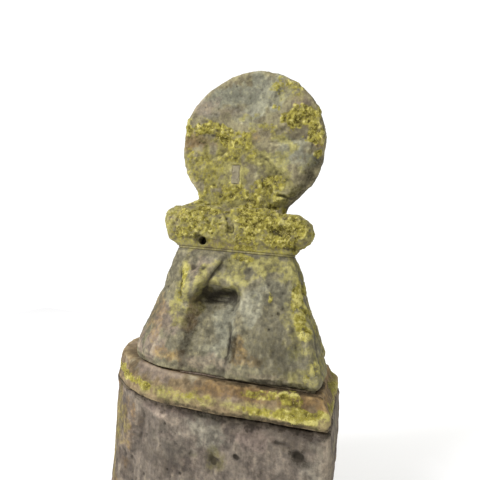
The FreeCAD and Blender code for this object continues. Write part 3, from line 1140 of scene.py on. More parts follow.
@dataclass
class Bell(Carving):
    """The flared bell, with a carved leaf and a fluted channel on its front."""

    LIP = 320.0
    TOP_LEFT = -92.0
    TOP_RIGHT = 140.0
    TOP_DEEP = 58.0
    FOOT_DEEP = 122.0
    FOOT_CHEEK = 140.0
    TOP_CHEEK = 30.0
    CORNER = 20.0
    LEAN = 0.93
    GRAIN = 48.0
    WEAR = 3.4
    LOST_CORNER = 13.0
    LEAF_HIGH = 86.0
    LEAF_TOP_X = -26.0
    LEAF_TOP_HALF = 40.0
    LEAF_RIGHT = 1.12
    LEAF_LEFT = 1.3
    LEAF_HOLLOW = Spot(-22.0, 488.0, 15.0, 20.0)
    NICHE = Spot(8.0, 430.0, 60.0, 36.0)
    NICHE_DEEP = 26.0
    BROW = Spot(34.0, 464.0, 52.0, 22.0)
    FLUTE_TOP = 450.0
    FLUTE_RIGHT = 49.0
    CRACK_X = 51.0
    CRACK_Z = 352.0

    def relief(self, points: Array) -> Array:
        """Height of the carving above the plain front.

        Args:
            points: Grid points.

        Returns:
            Height in millimetres, less than 0 in the channel.
        """
        x, _, z = points.T
        wander = 3.0 * self.noise.value(points, 26.0)
        down = (self.high[2] - z) / self.LEAF_HIGH
        centre = self.LEAF_TOP_X - 14.0 * down
        half = np.maximum(self.LEAF_TOP_HALF - 27.0 * down, 8.0)
        across = (x - centre + wander) / half
        spread = np.where(across > 0.0, self.LEAF_RIGHT, self.LEAF_LEFT)
        leaf = np.clip(1.0 - np.abs(across / spread) ** 3, 0.0, 1.0) ** 0.6
        leaf = leaf * ease(z + wander, 418.0, 444.0)
        rim = centre + self.LEAF_RIGHT * half - x
        folds = 8.0 + 9.0 * ease(rim, 46.0, 8.0) + 2.0 * ease(np.abs(across + 0.75), 0.5, 0.0)
        folds -= 5.0 * ease(self.LEAF_HOLLOW.away(x, z), 1.1, 0.1)
        folds = (folds + 3.0 * self.noise.value(points, 11.0)) * ease(z, 524.0, 486.0)

        head = self.FLUTE_TOP + 0.12 * (x - 9.0) + wander
        soft = 2.0 + 10.0 * ease(z, 366.0, 396.0) + 5.0 * ease(z, 338.0, 318.0)
        channel = ease(x + wander, -52.0, -14.0)
        channel = channel * ease(x, self.FLUTE_RIGHT + soft, self.FLUTE_RIGHT - soft)
        niche = ease(self.NICHE.away(x, z), 1.05, 0.05)
        sink = (6.5 + 4.0 * ease(z, 330.0, 420.0)) * channel * ease(z, head + 18.0, head - 14.0)
        sink += self.NICHE_DEEP * niche * ease(z, head + 22.0, head - 18.0)
        brow = 5.0 * ease(self.BROW.away(x, z), 1.2, 0.2)
        right = ease(x, self.FLUTE_RIGHT - 1.0 - soft, self.FLUTE_RIGHT + 1.0 + soft) * ease(x, 170.0, 110.0)
        proud = 3.0 * right * ease(z, 424.0, 394.0)
        crack = 4.0 * ease(np.abs(x - self.CRACK_X + 0.8 * wander), 8.0, 1.0)
        crack *= ease(np.abs(z - self.CRACK_Z), 22.0, 4.0)
        return np.maximum(leaf * folds, brow) - sink + proud - crack

    def form(self, points: Array) -> Array:
        """Straight lip, then a taper to the head, with the carving on the front."""
        x, y, z = points.T
        share = np.clip((z - self.LIP) / (self.high[2] - self.LIP), 0.0, 1.0)
        left = self.low[0] + (self.TOP_LEFT - self.low[0]) * share
        left = left - 8.0 * ease(share, 0.6, 0.1) - 3.0 * share
        right = self.high[0] + (self.TOP_RIGHT - self.high[0]) * share
        deep = self.FOOT_DEEP + (self.TOP_DEEP - self.FOOT_DEEP) * share
        cheek = self.FOOT_CHEEK + (self.TOP_CHEEK - self.FOOT_CHEEK) * share
        near = np.abs(y + deep) < 34.0
        raised = np.zeros(len(points), np.float32)
        raised[near] = self.relief(points[near])
        plan = plan_distance(x, y, left, right, -deep - raised, deep, cheek, self.CORNER) * self.LEAN
        lip = 8.0 + 9.0 * ease(x, 46.0, 62.0) - 7.0 * ease(np.abs(x - 10.0), 44.0, 34.0)
        return meet(plan, self.low[2] - z - self.SPARE, lip)

    def wear(self, points: Array) -> Array:
        """Pits, streaks and broad hollows, rougher to the right, and a lost corner at the back."""
        x, y, z = points.T
        right = ease(x, 30.0, 90.0)
        depth = 0.8 + self.WEAR * self.noise.layered(points, self.GRAIN, 5, 0.6)
        depth += 0.8 * self.noise.value(points, 5.5)
        depth += (0.4 + 0.8 * right) * self.noise.value(points, (7.0, 7.0, 22.0))
        depth += (1.0 + 1.8 * right) * self.noise.pits(points, 12.0, 0.55)
        share = np.clip((z - self.LIP) / (self.high[2] - self.LIP), 0.0, 1.0)
        side = self.high[0] + (self.TOP_RIGHT - self.high[0]) * share
        depth += self.LOST_CORNER * ease(x - side, -60.0, -6.0) * ease(y, -30.0, 60.0)
        foot = ease(z, 372.0, 320.0)
        depth += 2.6 * foot * right * self.noise.pits(points + 9.0, 16.0, 0.6)
        return depth + self.granules(points, Growth.LICHEN, 1.8, 9.0)


@dataclass
class Capital(Carving):
    """The cushion capital, with a scroll at each end, crusted with lichen."""

    SCROLL_LEFT = -83.0
    SCROLL_RIGHT = 131.0
    SCROLL_Z = 555.0
    SCROLL_RADIUS = 35.0
    STAY_X = -38.0
    STAY_Z = 533.0
    STAY_RADIUS = 8.0
    STAY_BACK = -26.0
    LUMPS = (
        ((-66.0, -42.0, 576.0), (26.0, 22.0, 18.0), 10.0),
        ((-80.0, -6.0, 568.0), (38.0, 48.0, 31.0), 10.0),
        ((-68.0, 26.0, 578.0), (32.0, 28.0, 20.0), 10.0),
        ((-105.0, -20.0, 575.0), (18.0, 30.0, 23.0), 9.0),
        ((131.0, -20.0, 570.0), (27.0, 36.0, 20.0), 9.0),
    )
    GRAIN = 36.0
    WEAR = 4.2
    LOST_END = 14.0

    def scroll(self, points: Array, at_x: float, radius: float, half: float) -> Array:
        """Distance to one scroll, a drum that lies along Y."""
        drum = np.hypot(points[:, 0] - at_x, points[:, 2] - self.SCROLL_Z) - radius
        return meet(drum, np.abs(points[:, 1]) - half, 13.0)

    def form(self, points: Array) -> Array:
        """Cushion, scrolls, end lumps, set-back band, groove and hollow eye."""
        x, y, z = points.T
        wander = 3.0 * self.noise.value(points, 22.0)
        cushion = block(points, (-92.0, -60.0, 522.0), (140.0, 60.0, 591.0), 23.0)
        left_side = -95.0 - 9.0 * ease(z, 520.0, 542.0)
        right_side = 140.0 - 0.4 * (z - 520.0)
        waist = plan_distance(x, y, left_side, right_side, -58.0, 58.0, 30.0, 20.0)
        cushion = join(cushion, np.maximum(waist, z - 560.0), 8.0)
        left = self.scroll(points, self.SCROLL_LEFT, self.SCROLL_RADIUS, 50.0)
        right = self.scroll(points, self.SCROLL_RIGHT, self.SCROLL_RADIUS, 50.0)
        body = join(join(cushion, left, 12.0), right, 12.0)
        for middle, radii, soft in self.LUMPS:
            body = join(body, ellipsoid(points, middle, radii), soft)
        band = block(points, (-150.0, -90.0, 505.0), (-6.0, -57.0, 538.0), 5.0) + 0.5 * wander
        body = carve(body, band, 5.0)
        body = carve(body, ellipsoid(points, (self.STAY_X, -59.0, self.STAY_Z), (15.0, 9.0, 14.0)), 4.0)
        roll = np.hypot(np.abs(y) - 33.0, z - 589.0) - 11.0 + wander
        body = join(body, np.maximum(roll, np.abs(x - 8.0) - 92.0), 8.0)
        recess = block(points, (0.0, -90.0, 505.0), (118.0, -58.0, 533.0), 5.0) + 0.5 * wander
        body = carve(body, recess, 5.0)
        lean = 9.0 + 9.0 * np.clip((590.0 - z) / 30.0, 0.0, 1.0)
        groove = np.maximum(np.abs(x - lean + 0.5 * wander) - 6.0, np.maximum(552.0 - z, y + 56.0))
        body = carve(body, groove, 5.0)
        eye = ellipsoid(points, (117.0, -62.0, 561.0), (27.0, 13.0, 13.0)) + 0.4 * wander
        return carve(body, eye, 7.0)

    def wear(self, points: Array) -> Array:
        """Lumpy wear under a granular crust."""
        x, y, z = points.T
        depth = self.WEAR * self.noise.layered(points, self.GRAIN, 5, 0.6)
        depth += 0.8 * self.noise.value(points, 4.5)
        depth += 2.6 * self.noise.pits(points, 13.0, 0.4)
        behind_or_low = np.maximum(ease(y, -10.0, 40.0), 0.8 * ease(z, 556.0, 530.0))
        depth += self.LOST_END * ease(x, 96.0, 150.0) * behind_or_low
        return depth + self.granules(points, Growth.LICHEN, 2.6, 8.0)

    def seats(self, points: Array) -> Array:
        """Joint above only under the dial's foot, so the ends may stand up beside it."""
        x, y, z = points.T
        free = np.maximum(ease(np.abs(x - 6.0), 102.0, 110.0), ease(np.abs(y), 26.4, 28.0))
        return np.maximum(self.low[2] - z, z - self.high[2] - 14.0 * free)

    def sockets(self, points: Array, distance: Array) -> Array:
        """Cuts the dowel socket and the bore for the stay."""
        distance = super().sockets(points, distance)
        bore = np.hypot(points[:, 0] - self.STAY_X, points[:, 2] - self.STAY_Z) - self.STAY_RADIUS
        return np.maximum(distance, -np.maximum(bore, points[:, 1] - self.STAY_BACK))


@dataclass
class DialStone(Carving):
    """The round dial stone on its neck, with sunk and raised sectors around the gnomon's slot."""

    CENTRE_X = 36.0
    CENTRE_Z = 726.2
    RADIUS = 140.0
    HALF = 26.0
    NECK_LEFT = -59.0
    NECK_RIGHT = 107.0
    SUNK = 1.6
    SECTORS = (
        (9.0, 34.0, 56.0, 160.0, 3.0),
        (166.0, 201.0, 52.0, 160.0, 5.5),
        (-70.0, -40.0, 60.0, 150.0, 3.0),
        (-38.0, 6.0, 34.0, 112.0, -3.5),
        (-40.0, 38.0, 118.0, 160.0, 3.0),
        (66.0, 82.0, 50.0, 132.0, -2.0),
        (92.0, 116.0, 50.0, 96.0, 2.2),
    )
    GRAIN = 40.0
    WEAR = 2.3
    BROKEN_RIM = 11.0
    SLOT_OPEN = 20.0

    def sector(self, x: Array, z: Array, start: float, end: float, near: float, far: float) -> Array:
        """Grades a sector of the disc.

        Args:
            x: X of each point.
            z: Z of each point.
            start: Angle from the right at which it starts, in degrees.
            end: Angle at which it ends.
            near: Its inner radius.
            far: Its outer radius.

        Returns:
            1 inside it and 0 outside.
        """
        angle = np.degrees(np.arctan2(z - self.CENTRE_Z, x - self.CENTRE_X))
        middle, half = (start + end) / 2.0, (end - start) / 2.0
        away = np.abs((angle - middle + 180.0) % 360.0 - 180.0) - half
        out = np.hypot(x - self.CENTRE_X, z - self.CENTRE_Z)
        return ease(away, 4.0, -4.0) * ease(out, near - 22.0, near + 14.0) * ease(out, far + 6.0, far - 6.0)

    def relief(self, points: Array) -> Array:
        """Depth of the face below the front plane.

        Args:
            points: Grid points.

        Returns:
            Depth in millimetres.
        """
        warp = 6.0 * self.noise.value(points, 24.0)
        x, z = points[:, 0] + warp, points[:, 2] - 0.7 * warp
        depth = np.full(len(points), self.SUNK, np.float32)
        for start, end, near, far, deep in self.SECTORS:
            depth += deep * self.sector(x, z, start, end, near, far)
        groove = np.abs(z - 628.0 - 0.06 * (x - 116.0))
        depth += 5.0 * ease(groove, 4.0, 1.0) * ease(x, 92.0, 108.0)
        return depth

    def form(self, points: Array) -> Array:
        """Disc with a rounded rim, joined to its spreading neck."""
        x, y, z = points.T
        out = np.hypot(x - self.CENTRE_X, z - self.CENTRE_Z)
        angle = np.degrees(np.arctan2(z - self.CENTRE_Z, x - self.CENTRE_X))
        lost = 6.0 * ease(np.abs(angle + 46.0), 32.0, 8.0)
        lost += 3.0 * ease(np.abs(angle + 10.0), 22.0, 6.0)
        disc = out - self.RADIUS + lost - 3.5 * ease(np.abs(angle - 62.0), 60.0, 20.0)
        side = np.abs((angle + 8.0) % 360.0 - 180.0)
        disc -= 4.0 * ease(side, 52.0, 24.0)
        left = self.NECK_LEFT - 36.0 * ease(z, 618.0, 597.0)
        neck = np.maximum(np.maximum(left - x, x - self.NECK_RIGHT), z - 690.0)
        outline = join(disc, neck, 16.0)
        face = self.relief(points) - self.HALF - y
        broken = self.BROKEN_RIM * ease(np.abs(angle + 34.0), 40.0, 24.0) * ease(out, 119.0, 134.0)
        thick = np.maximum(face + broken, y - self.HALF)
        shell = meet(outline, thick, 8.0 + 2.0 * self.noise.value(points, 40.0))
        return np.maximum(shell, self.low[2] - z)

    def wear(self, points: Array) -> Array:
        """Soft undulation, grains and crusts."""
        depth = self.WEAR * self.noise.layered(points, self.GRAIN, 5, 0.6)
        depth += 0.7 * self.noise.value(points, 4.5) - 0.4
        depth += 1.4 * self.noise.pits(points, 10.0, 0.4)
        return depth + self.granules(points, Growth.LICHEN, 2.4, 7.5)

    def seats(self, points: Array) -> Array:
        """Joint below only."""
        return self.low[2] - points[:, 2]

    def sockets(self, points: Array, distance: Array) -> Array:
        """Cuts the dowel socket and the gnomon's slot."""
        distance = super().sockets(points, distance)
        low, high = node_box("gnomon_lead")
        low[1] -= self.SLOT_OPEN
        return np.maximum(distance, -block(points, tuple(low), tuple(high), 1.0))


@dataclass
class MortarBed(Carving):
    """Lime mortar squeezed between two stones, with an uneven edge.

    Attributes:
        cheek: Radius of its swept corner.
        corner: Radius of its other corners.
        bulge: How far it stands beyond its CAD box to the left, right, front and back, in millimetres.
        swell: How much further it stands where the stones meet flush.
        flush: Middle and half width of that stretch in X.
    """

    cheek: float = 9.0
    corner: float = 9.0
    bulge: tuple[float, float, float, float] = (2.0, 2.0, 2.0, 2.0)
    swell: float = 0.0
    flush: tuple[float, float] = (9.0, 40.0)

    def form(self, points: Array) -> Array:
        """Thin slab with soft corners, swept at the front left as the stones are."""
        x, y, _ = points.T
        low, high = self.low, self.high
        middle, half = self.flush
        swell = self.swell * ease(np.abs(x - middle), half + 10.0, half - 10.0) * (y < 100.0)
        left, right, ahead, behind = self.bulge
        sides = (low[0] - left, high[0] + right, low[1] - ahead, high[1] + behind)
        return plan_distance(x, y, *sides, self.cheek, self.corner) - swell

    def wear(self, points: Array) -> Array:
        """Crumbled edge."""
        return 1.2 * self.noise.value(points, 18.0) + 1.2 * self.noise.layered(points, 7.0, 2)


@dataclass
class LeadPlug(Carving):
    """Lead that was run into the gnomon's slot and dressed a little proud."""

    LIP = 2.2
    LIP_DEEP = 4.8

    def form(self, points: Array) -> Array:
        """Plug that fills the slot, with the tang's room in it."""
        low, high = np.array(self.low), np.array(self.high)
        plug = block(points, tuple(low), tuple(high), 0.8)
        spread = (self.LIP, 0.0, self.LIP)
        lip_low, lip_high = low - spread, high + spread
        lip_high[1] = low[1] + self.LIP_DEEP
        lip = block(points, tuple(lip_low), tuple(lip_high), 1.0) + 1.5 * self.noise.value(points, 5.0)
        plug = join(plug, lip, 0.6)
        tang_low, tang_high = node_box("gnomon_tang")
        return np.maximum(plug, -block(points, tuple(tang_low), tuple(tang_high), 0.5))

    def wear(self, points: Array) -> Array:
        """Hammer marks on the face, and nothing around the tang."""
        face = ease(points[:, 1], self.low[1] + 6.0, self.low[1] + 3.0)
        return face * (0.8 + 0.9 * self.noise.value(points, 7.0))


# ---------------------------------------------------------------- lichen, studio and assembly
@dataclass
class LichenTufts:
    """Grains of lichen scattered over a stone where it is painted thickest.

    Attributes:
        stone: Stone that they grow on.
        name: Name of the piece.
        material: Their material.
        density: Grains to the square metre at full cover.
        size: Radius of a grain in metres.
        seed: Seed of the scatter.
    """

    stone: bpy.types.Object
    name: str
    material: bpy.types.Material
    density: float
    size: float
    seed: int

    BARE_BELOW = 0.35
    FULL_ABOVE = 0.9
    SMALLEST = (0.5, 0.5, 0.4)
    LARGEST = (1.4, 1.2, 0.8)

    def tree(self) -> bpy.types.NodeTree:
        """Builds the scatter tree.

        Returns:
            A tree with named inputs that gives the grains alone.
        """
        tree = bpy.data.node_groups.new(f"{self.name}_tree", "GeometryNodeTree")
        sides = tree.interface
        sides.new_socket("Geometry", in_out="INPUT", socket_type="NodeSocketGeometry")
        for label in ("Density", "Grain Size"):
            sides.new_socket(label, in_out="INPUT", socket_type="NodeSocketFloat")
        sides.new_socket("Seed", in_out="INPUT", socket_type="NodeSocketInt")
        sides.new_socket("Geometry", in_out="OUTPUT", socket_type="NodeSocketGeometry")

        def add(kind: str, **settings: object) -> bpy.types.Node:
            """Adds a node with its settings."""
            node = tree.nodes.new(kind)
            for key, value in settings.items():
                setattr(node, key, value)
            return node

        def link(start: bpy.types.NodeSocket, node: bpy.types.Node, socket: str | int) -> None:
            """Links an output to a node's input."""
            tree.links.new(start, node.inputs[socket])

        given = add("NodeGroupInput").outputs
        cover = add("GeometryNodeInputNamedAttribute", data_type="FLOAT")
        cover.inputs["Name"].default_value = Growth.LICHEN.value
        thick = add("ShaderNodeMapRange", interpolation_type="SMOOTHSTEP")
        link(cover.outputs["Attribute"], thick, "Value")
        thick.inputs["From Min"].default_value = self.BARE_BELOW
        thick.inputs["From Max"].default_value = self.FULL_ABOVE
        share = add("ShaderNodeMath", operation="MULTIPLY")
        link(thick.outputs["Result"], share, 0)
        link(given["Density"], share, 1)
        spread = add("GeometryNodeDistributePointsOnFaces", distribute_method="RANDOM")
        link(given["Geometry"], spread, "Mesh")
        link(share.outputs[0], spread, "Density")
        link(given["Seed"], spread, "Seed")
        grain = add("GeometryNodeMeshIcoSphere")
        grain.inputs["Radius"].default_value = 1.0
        grain.inputs["Subdivisions"].default_value = 1
        turn = add("FunctionNodeRandomValue", data_type="FLOAT_VECTOR")
        turn.inputs["Max"].default_value = (math.tau, math.tau, math.tau)
        link(given["Seed"], turn, "Seed")
        spare = add("FunctionNodeRandomValue", data_type="FLOAT_VECTOR")
        spare.inputs["Min"].default_value = self.SMALLEST
        spare.inputs["Max"].default_value = self.LARGEST
        link(given["Seed"], spare, "Seed")
        scale = add("ShaderNodeVectorMath", operation="SCALE")
        link(spare.outputs["Value"], scale, 0)
        link(given["Grain Size"], scale, "Scale")
        place = add("GeometryNodeInstanceOnPoints")
        link(spread.outputs["Points"], place, "Points")
        link(grain.outputs["Mesh"], place, "Instance")
        link(turn.outputs["Value"], place, "Rotation")
        link(scale.outputs["Vector"], place, "Scale")
        real = add("GeometryNodeRealizeInstances")
        link(place.outputs["Instances"], real, "Geometry")
        dress = add("GeometryNodeSetMaterial")
        dress.inputs["Material"].default_value = self.material
        link(real.outputs["Geometry"], dress, "Geometry")
        link(dress.outputs["Geometry"], add("NodeGroupOutput"), "Geometry")
        return tree

    def build(self) -> bpy.types.Object:
        """Scatters the grains and keeps them as a plain mesh.

        Returns:
            The piece of grains.
        """
        carrier = bpy.data.objects.new(f"{self.name}_carrier", self.stone.data)
        bpy.context.scene.collection.objects.link(carrier)
        tree = self.tree()
        modifier = carrier.modifiers.new("Scatter", "NODES")
        modifier.node_group = tree
        known = {item.name: item.identifier for item in tree.interface.items_tree if item.in_out == "INPUT"}
        for label, value in (("Density", self.density), ("Grain Size", self.size), ("Seed", self.seed)):
            modifier[known[label]] = value
        graph = bpy.context.evaluated_depsgraph_get()
        mesh = bpy.data.meshes.new_from_object(carrier.evaluated_get(graph))
        carrier.modifiers.clear()
        bpy.data.objects.remove(carrier)
        mesh.name = self.name
        piece = bpy.data.objects.new(self.name, mesh)
        bpy.context.scene.collection.objects.link(piece)
        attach(piece, "root")
        return piece


@dataclass
class FixedIron:
    """The hidden dowels, packers, leads and tang, which keep their CAD shapes.

    Attributes:
        finishes: The materials.
    """

    finishes: Finishes

    def dress(self) -> int:
        """Gives each hidden node its finish.

        Returns:
            How many nodes were dressed.
        """
        count = 0
        for name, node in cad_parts.items():
            if node.hide_render:
                continue
            iron = name == "gnomon_tang" or ("dowel" in name and "lead" not in name)
            node.data.materials.clear()
            node.data.materials.append(self.finishes.iron if iron else self.finishes.lead)
            count += 1
        return count


@dataclass
class Stones:
    """The five stones and what grows on each.

    Attributes:
        finishes: The materials.
    """

    finishes: Finishes

    LOWER = ("lower_dowel_lead_left", "lower_dowel_lead_right")
    UPPER = ("upper_dowel_lead",)
    DIE_SEAM = (242.0, -200.0, 60.0)
    BELL_SEAM = (298.0, 9.0, 36.0)
    CAPITAL_SEAM = (518.0, 20.0, 400.0)

    def die(self) -> Die:
        """The die, with painted shadow below the ledge."""
        patches = (
            front(Growth.MAUVE, (-50, 236, 60, 22, 0.8), (105, 212, 40, 26, 0.9), (165, 238, 50, 12, 0.8))
            + front(Growth.PALE, (16, 205, 46, 34, 0.6), (-40, 170, 40, 30, 0.3), (214, 150, 18, 60, 0.4))
            + front(Growth.OCHRE, (-190, 190, 54, 90, 0.6), (-215, 60, 50, 90, 0.5))
            + front(Growth.OLIVE, (-175, 180, 30, 60, 0.5), (47, 162, 34, 20, 0.4), (-200, 120, 30, 90, 0.4))
            + front(Growth.GRIME_AND_SHADE, (-60, 150, 60, 40, 0.45), (47, 164, 34, 18, 0.5), (176, 216, 46, 22, 0.5))
            + front(Growth.GRIME_AND_SHADE, (80, 172, 10, 9, 0.9), (184, 196, 20, 12, 0.9), (20, 60, 200, 60, 0.3))
            # Painted shadow: the dark band under the ledge's overhang.
            + front(Growth.GRIME_AND_SHADE, (70, 240, 190, 15, 1.0), (-60, 238, 70, 9, 0.7), (110, 222, 90, 12, 0.45))
            + back(Growth.OLIVE, (-120, 60, 110, 60, 0.6), (90, 30, 120, 40, 0.5), (180, 180, 60, 50, 0.4))
            + back(Growth.PALE, (-60, 170, 70, 46, 0.6), (120, 120, 60, 40, 0.4))
            # The first row, a band under the ledge at the back, is painted shadow.
            + back(Growth.GRIME_AND_SHADE, (30, 225, 200, 22, 0.5), (-180, 120, 30, 70, 0.4))
        )
        return Die(
            "die", "grey_stone", self.finishes.die, (2.6, 2.6, 2.6), 11, self.LOWER,
            {Growth.MAUVE: 0.35, Growth.OLIVE: 0.1}, patches, seams=(self.DIE_SEAM,),
        )

    def ledge(self) -> Ledge:
        """The ledge, ochre on the right and with lichen along its arris."""
        patches = (
            front(Growth.MAUVE, (-80, 294, 62, 22, 0.9), (62, 272, 34, 12, 0.7), (-190, 270, 60, 20, 0.5))
            + front(Growth.PALE, (-8, 296, 34, 14, 0.5), (-90, 294, 70, 20, 0.7))
            + front(Growth.OCHRE, (40, 286, 44, 22, 0.7), (100, 288, 50, 20, 0.9), (180, 288, 60, 20, 0.9))
            + front(Growth.OCHRE, (226, 284, 18, 18, 0.8), (-20, 272, 40, 10, 0.5))
            + front(Growth.LICHEN, (160, 262, 60, 8, 0.95), (206, 266, 30, 12, 1.0), (119, 284, 44, 9, 0.6))
            + front(Growth.LICHEN, (-175, 268, 56, 9, 0.85), (-110, 264, 40, 7, 0.75), (158, 287, 30, 8, 0.65))
            + front(Growth.LICHEN, (90, 262, 40, 5, 0.5), (0, 266, 50, 6, 0.4))
            + front(Growth.OLIVE, (-60, 264, 90, 12, 0.6), (100, 262, 120, 14, 0.6), (206, 262, 36, 16, 0.7))
            # Painted shadow: under the fascia, in the gap under the bell's foot and under the arris.
            + front(Growth.GRIME_AND_SHADE, (90, 248, 150, 7, 1.0), (120, 298, 110, 6, 1.0), (-40, 249, 60, 5, 0.6))
            + back(Growth.LICHEN, (-120, 266, 70, 9, 0.8), (40, 270, 60, 14, 0.6), (190, 264, 40, 10, 0.7))
            + back(Growth.OCHRE, (-60, 286, 80, 18, 0.7), (130, 288, 70, 16, 0.6))
            + back(Growth.MAUVE, (-190, 280, 40, 20, 0.7), (30, 254, 60, 8, 0.5))
        )
        return Ledge(
            "ledge", "lichened_stone", self.finishes.ledge, (2.0, 2.0, 2.0), 23, self.LOWER,
            {Growth.OCHRE: 0.25, Growth.MAUVE: 0.2, Growth.OLIVE: 0.15}, patches, seams=(self.DIE_SEAM,),
        )

    def bell(self) -> Bell:
        """The bell, greenish above and pitted at its right foot."""
        patches = (
            front(Growth.LICHEN, (158, 446, 11, 24, 0.9), (166, 416, 11, 22, 1.0), (178, 384, 12, 17, 1.0))
            + front(Growth.LICHEN, (-58, 462, 9, 22, 0.9), (110, 440, 8, 16, 0.7), (46, 511, 20, 7, 0.8))
            + front(Growth.LICHEN, (196, 330, 14, 20, 0.45), (-58, 428, 12, 18, 0.45))
            + front(Growth.OLIVE, (-60, 440, 26, 60, 0.8), (-24, 452, 18, 40, 0.9), (30, 470, 46, 34, 0.7))
            + front(Growth.OLIVE, (104, 500, 50, 20, 0.9))
            + front(Growth.OLIVE, (140, 496, 26, 26, 0.9), (170, 400, 30, 90, 0.6), (194, 330, 24, 40, 0.6))
            + front(Growth.PALE, (30, 385, 24, 52, 0.9), (79, 424, 32, 36, 0.8), (22, 340, 40, 20, 0.5))
            + front(Growth.PALE, (-22, 478, 16, 34, 0.5), (120, 452, 30, 24, 0.4), (160, 352, 16, 14, 0.5))
            + front(Growth.MAUVE, (-104, 338, 44, 28, 1.0), (-76, 382, 28, 38, 0.9), (-30, 478, 30, 34, 0.7))
            + front(Growth.PALE, (-110, 335, 36, 22, 0.5), (-72, 380, 20, 30, 0.4), (-8, 486, 14, 24, 0.5))
            + front(Growth.MAUVE, (10, 322, 50, 14, 0.6), (100, 312, 60, 8, 0.4))
            + front(Growth.OCHRE, (-70, 326, 34, 14, 0.6), (-32, 404, 12, 40, 0.7), (70, 346, 16, 26, 0.6))
            + front(Growth.OCHRE, (90, 330, 26, 14, 0.5), (-112, 378, 30, 50, 0.5))
            # Painted shade: in the niche under the leaf, on the channel's left wall and in the crack.
            + front(Growth.GRIME_AND_SHADE, (6, 432, 40, 20, 1.0), (-32, 374, 13, 54, 0.75), (52, 352, 8, 24, 0.95))
            # Painted shadow along the gap under the bell's foot.
            + front(Growth.GRIME_AND_SHADE, (130, 305, 90, 5, 0.95), (-100, 306, 50, 4, 0.6))
            + front(Growth.GRIME_AND_SHADE, (140, 335, 60, 26, 0.4), (110, 392, 40, 34, 0.25))
            + back(Growth.OLIVE, (20, 480, 90, 50, 0.7), (-90, 360, 60, 60, 0.5), (150, 400, 40, 90, 0.5))
            + back(Growth.LICHEN, (90, 470, 26, 30, 0.8), (-40, 410, 22, 30, 0.7), (130, 350, 30, 22, 0.6))
            + back(Growth.PALE, (30, 390, 60, 50, 0.7), (-100, 330, 50, 26, 0.4))
            # Painted shadow along the foot and under the capital at the back.
            + back(Growth.GRIME_AND_SHADE, (40, 312, 170, 16, 0.5), (0, 510, 90, 10, 0.5))
        )
        return Bell(
            "bell", "grey_stone", self.finishes.bell, (2.2, 2.2, 2.2), 37, self.LOWER + self.UPPER,
            {Growth.OLIVE: 0.22, Growth.MAUVE: 0.12, Growth.OCHRE: 0.12}, patches, margin=10.0,
            seams=(self.CAPITAL_SEAM, self.BELL_SEAM),
        )

    def capital(self) -> Capital:
        """The capital, crusted almost all over."""
        patches = (
            front(Growth.LICHEN, (72, 573, 52, 22, 1.0), (134, 572, 34, 26, 0.8), (-60, 578, 40, 16, 0.7))
            + front(Growth.LICHEN, (104, 542, 50, 14, 0.8), (44, 548, 36, 12, 0.7), (-92, 545, 26, 16, 0.6))
            + front(Growth.LICHEN, (-40, 560, 34, 14, 0.6), (46, 524, 20, 7, 0.8), (-14, 592, 60, 10, 0.8))
            + front(Growth.OLIVE, (20, 556, 170, 40, 0.9), (-60, 530, 50, 14, 0.8), (150, 575, 30, 24, 0.9))
            + front(Growth.MAUVE, (-102, 572, 17, 18, 1.0), (10, 532, 40, 12, 0.9), (104, 602, 18, 8, 0.9))
            + front(Growth.PALE, (-32, 588, 22, 8, 0.5), (-16, 570, 14, 12, 0.5), (12, 574, 9, 20, 0.7))
            + front(Growth.OCHRE, (-84, 584, 14, 10, 0.8), (10, 560, 16, 24, 0.6), (22, 528, 60, 8, 0.5))
            # Painted shade under the left scroll, in the stay hole, the eye and the groove, and under the
            # right scroll.
            + front(Growth.GRIME_AND_SHADE, (-68, 541, 34, 4, 0.8), (-38, 533, 11, 10, 0.6), (122, 562, 16, 8, 0.2))
            + front(Growth.GRIME_AND_SHADE, (14, 572, 7, 20, 0.3), (150, 536, 20, 10, 0.4))
            + back(Growth.LICHEN, (-40, 575, 60, 22, 1.0), (90, 560, 60, 28, 0.9), (20, 590, 90, 12, 0.9))
            + back(Growth.OLIVE, (20, 556, 170, 40, 0.9))
            + back(Growth.MAUVE, (30, 535, 50, 14, 0.7), (-90, 560, 20, 20, 0.6))
        )
        return Capital(
            "capital", "lichened_stone", self.finishes.capital, (1.3, 1.3, 1.3), 53, self.UPPER,
            {Growth.OLIVE: 0.75, Growth.LICHEN: 0.38}, patches, margin=13.0, seams=(self.CAPITAL_SEAM,),
        )

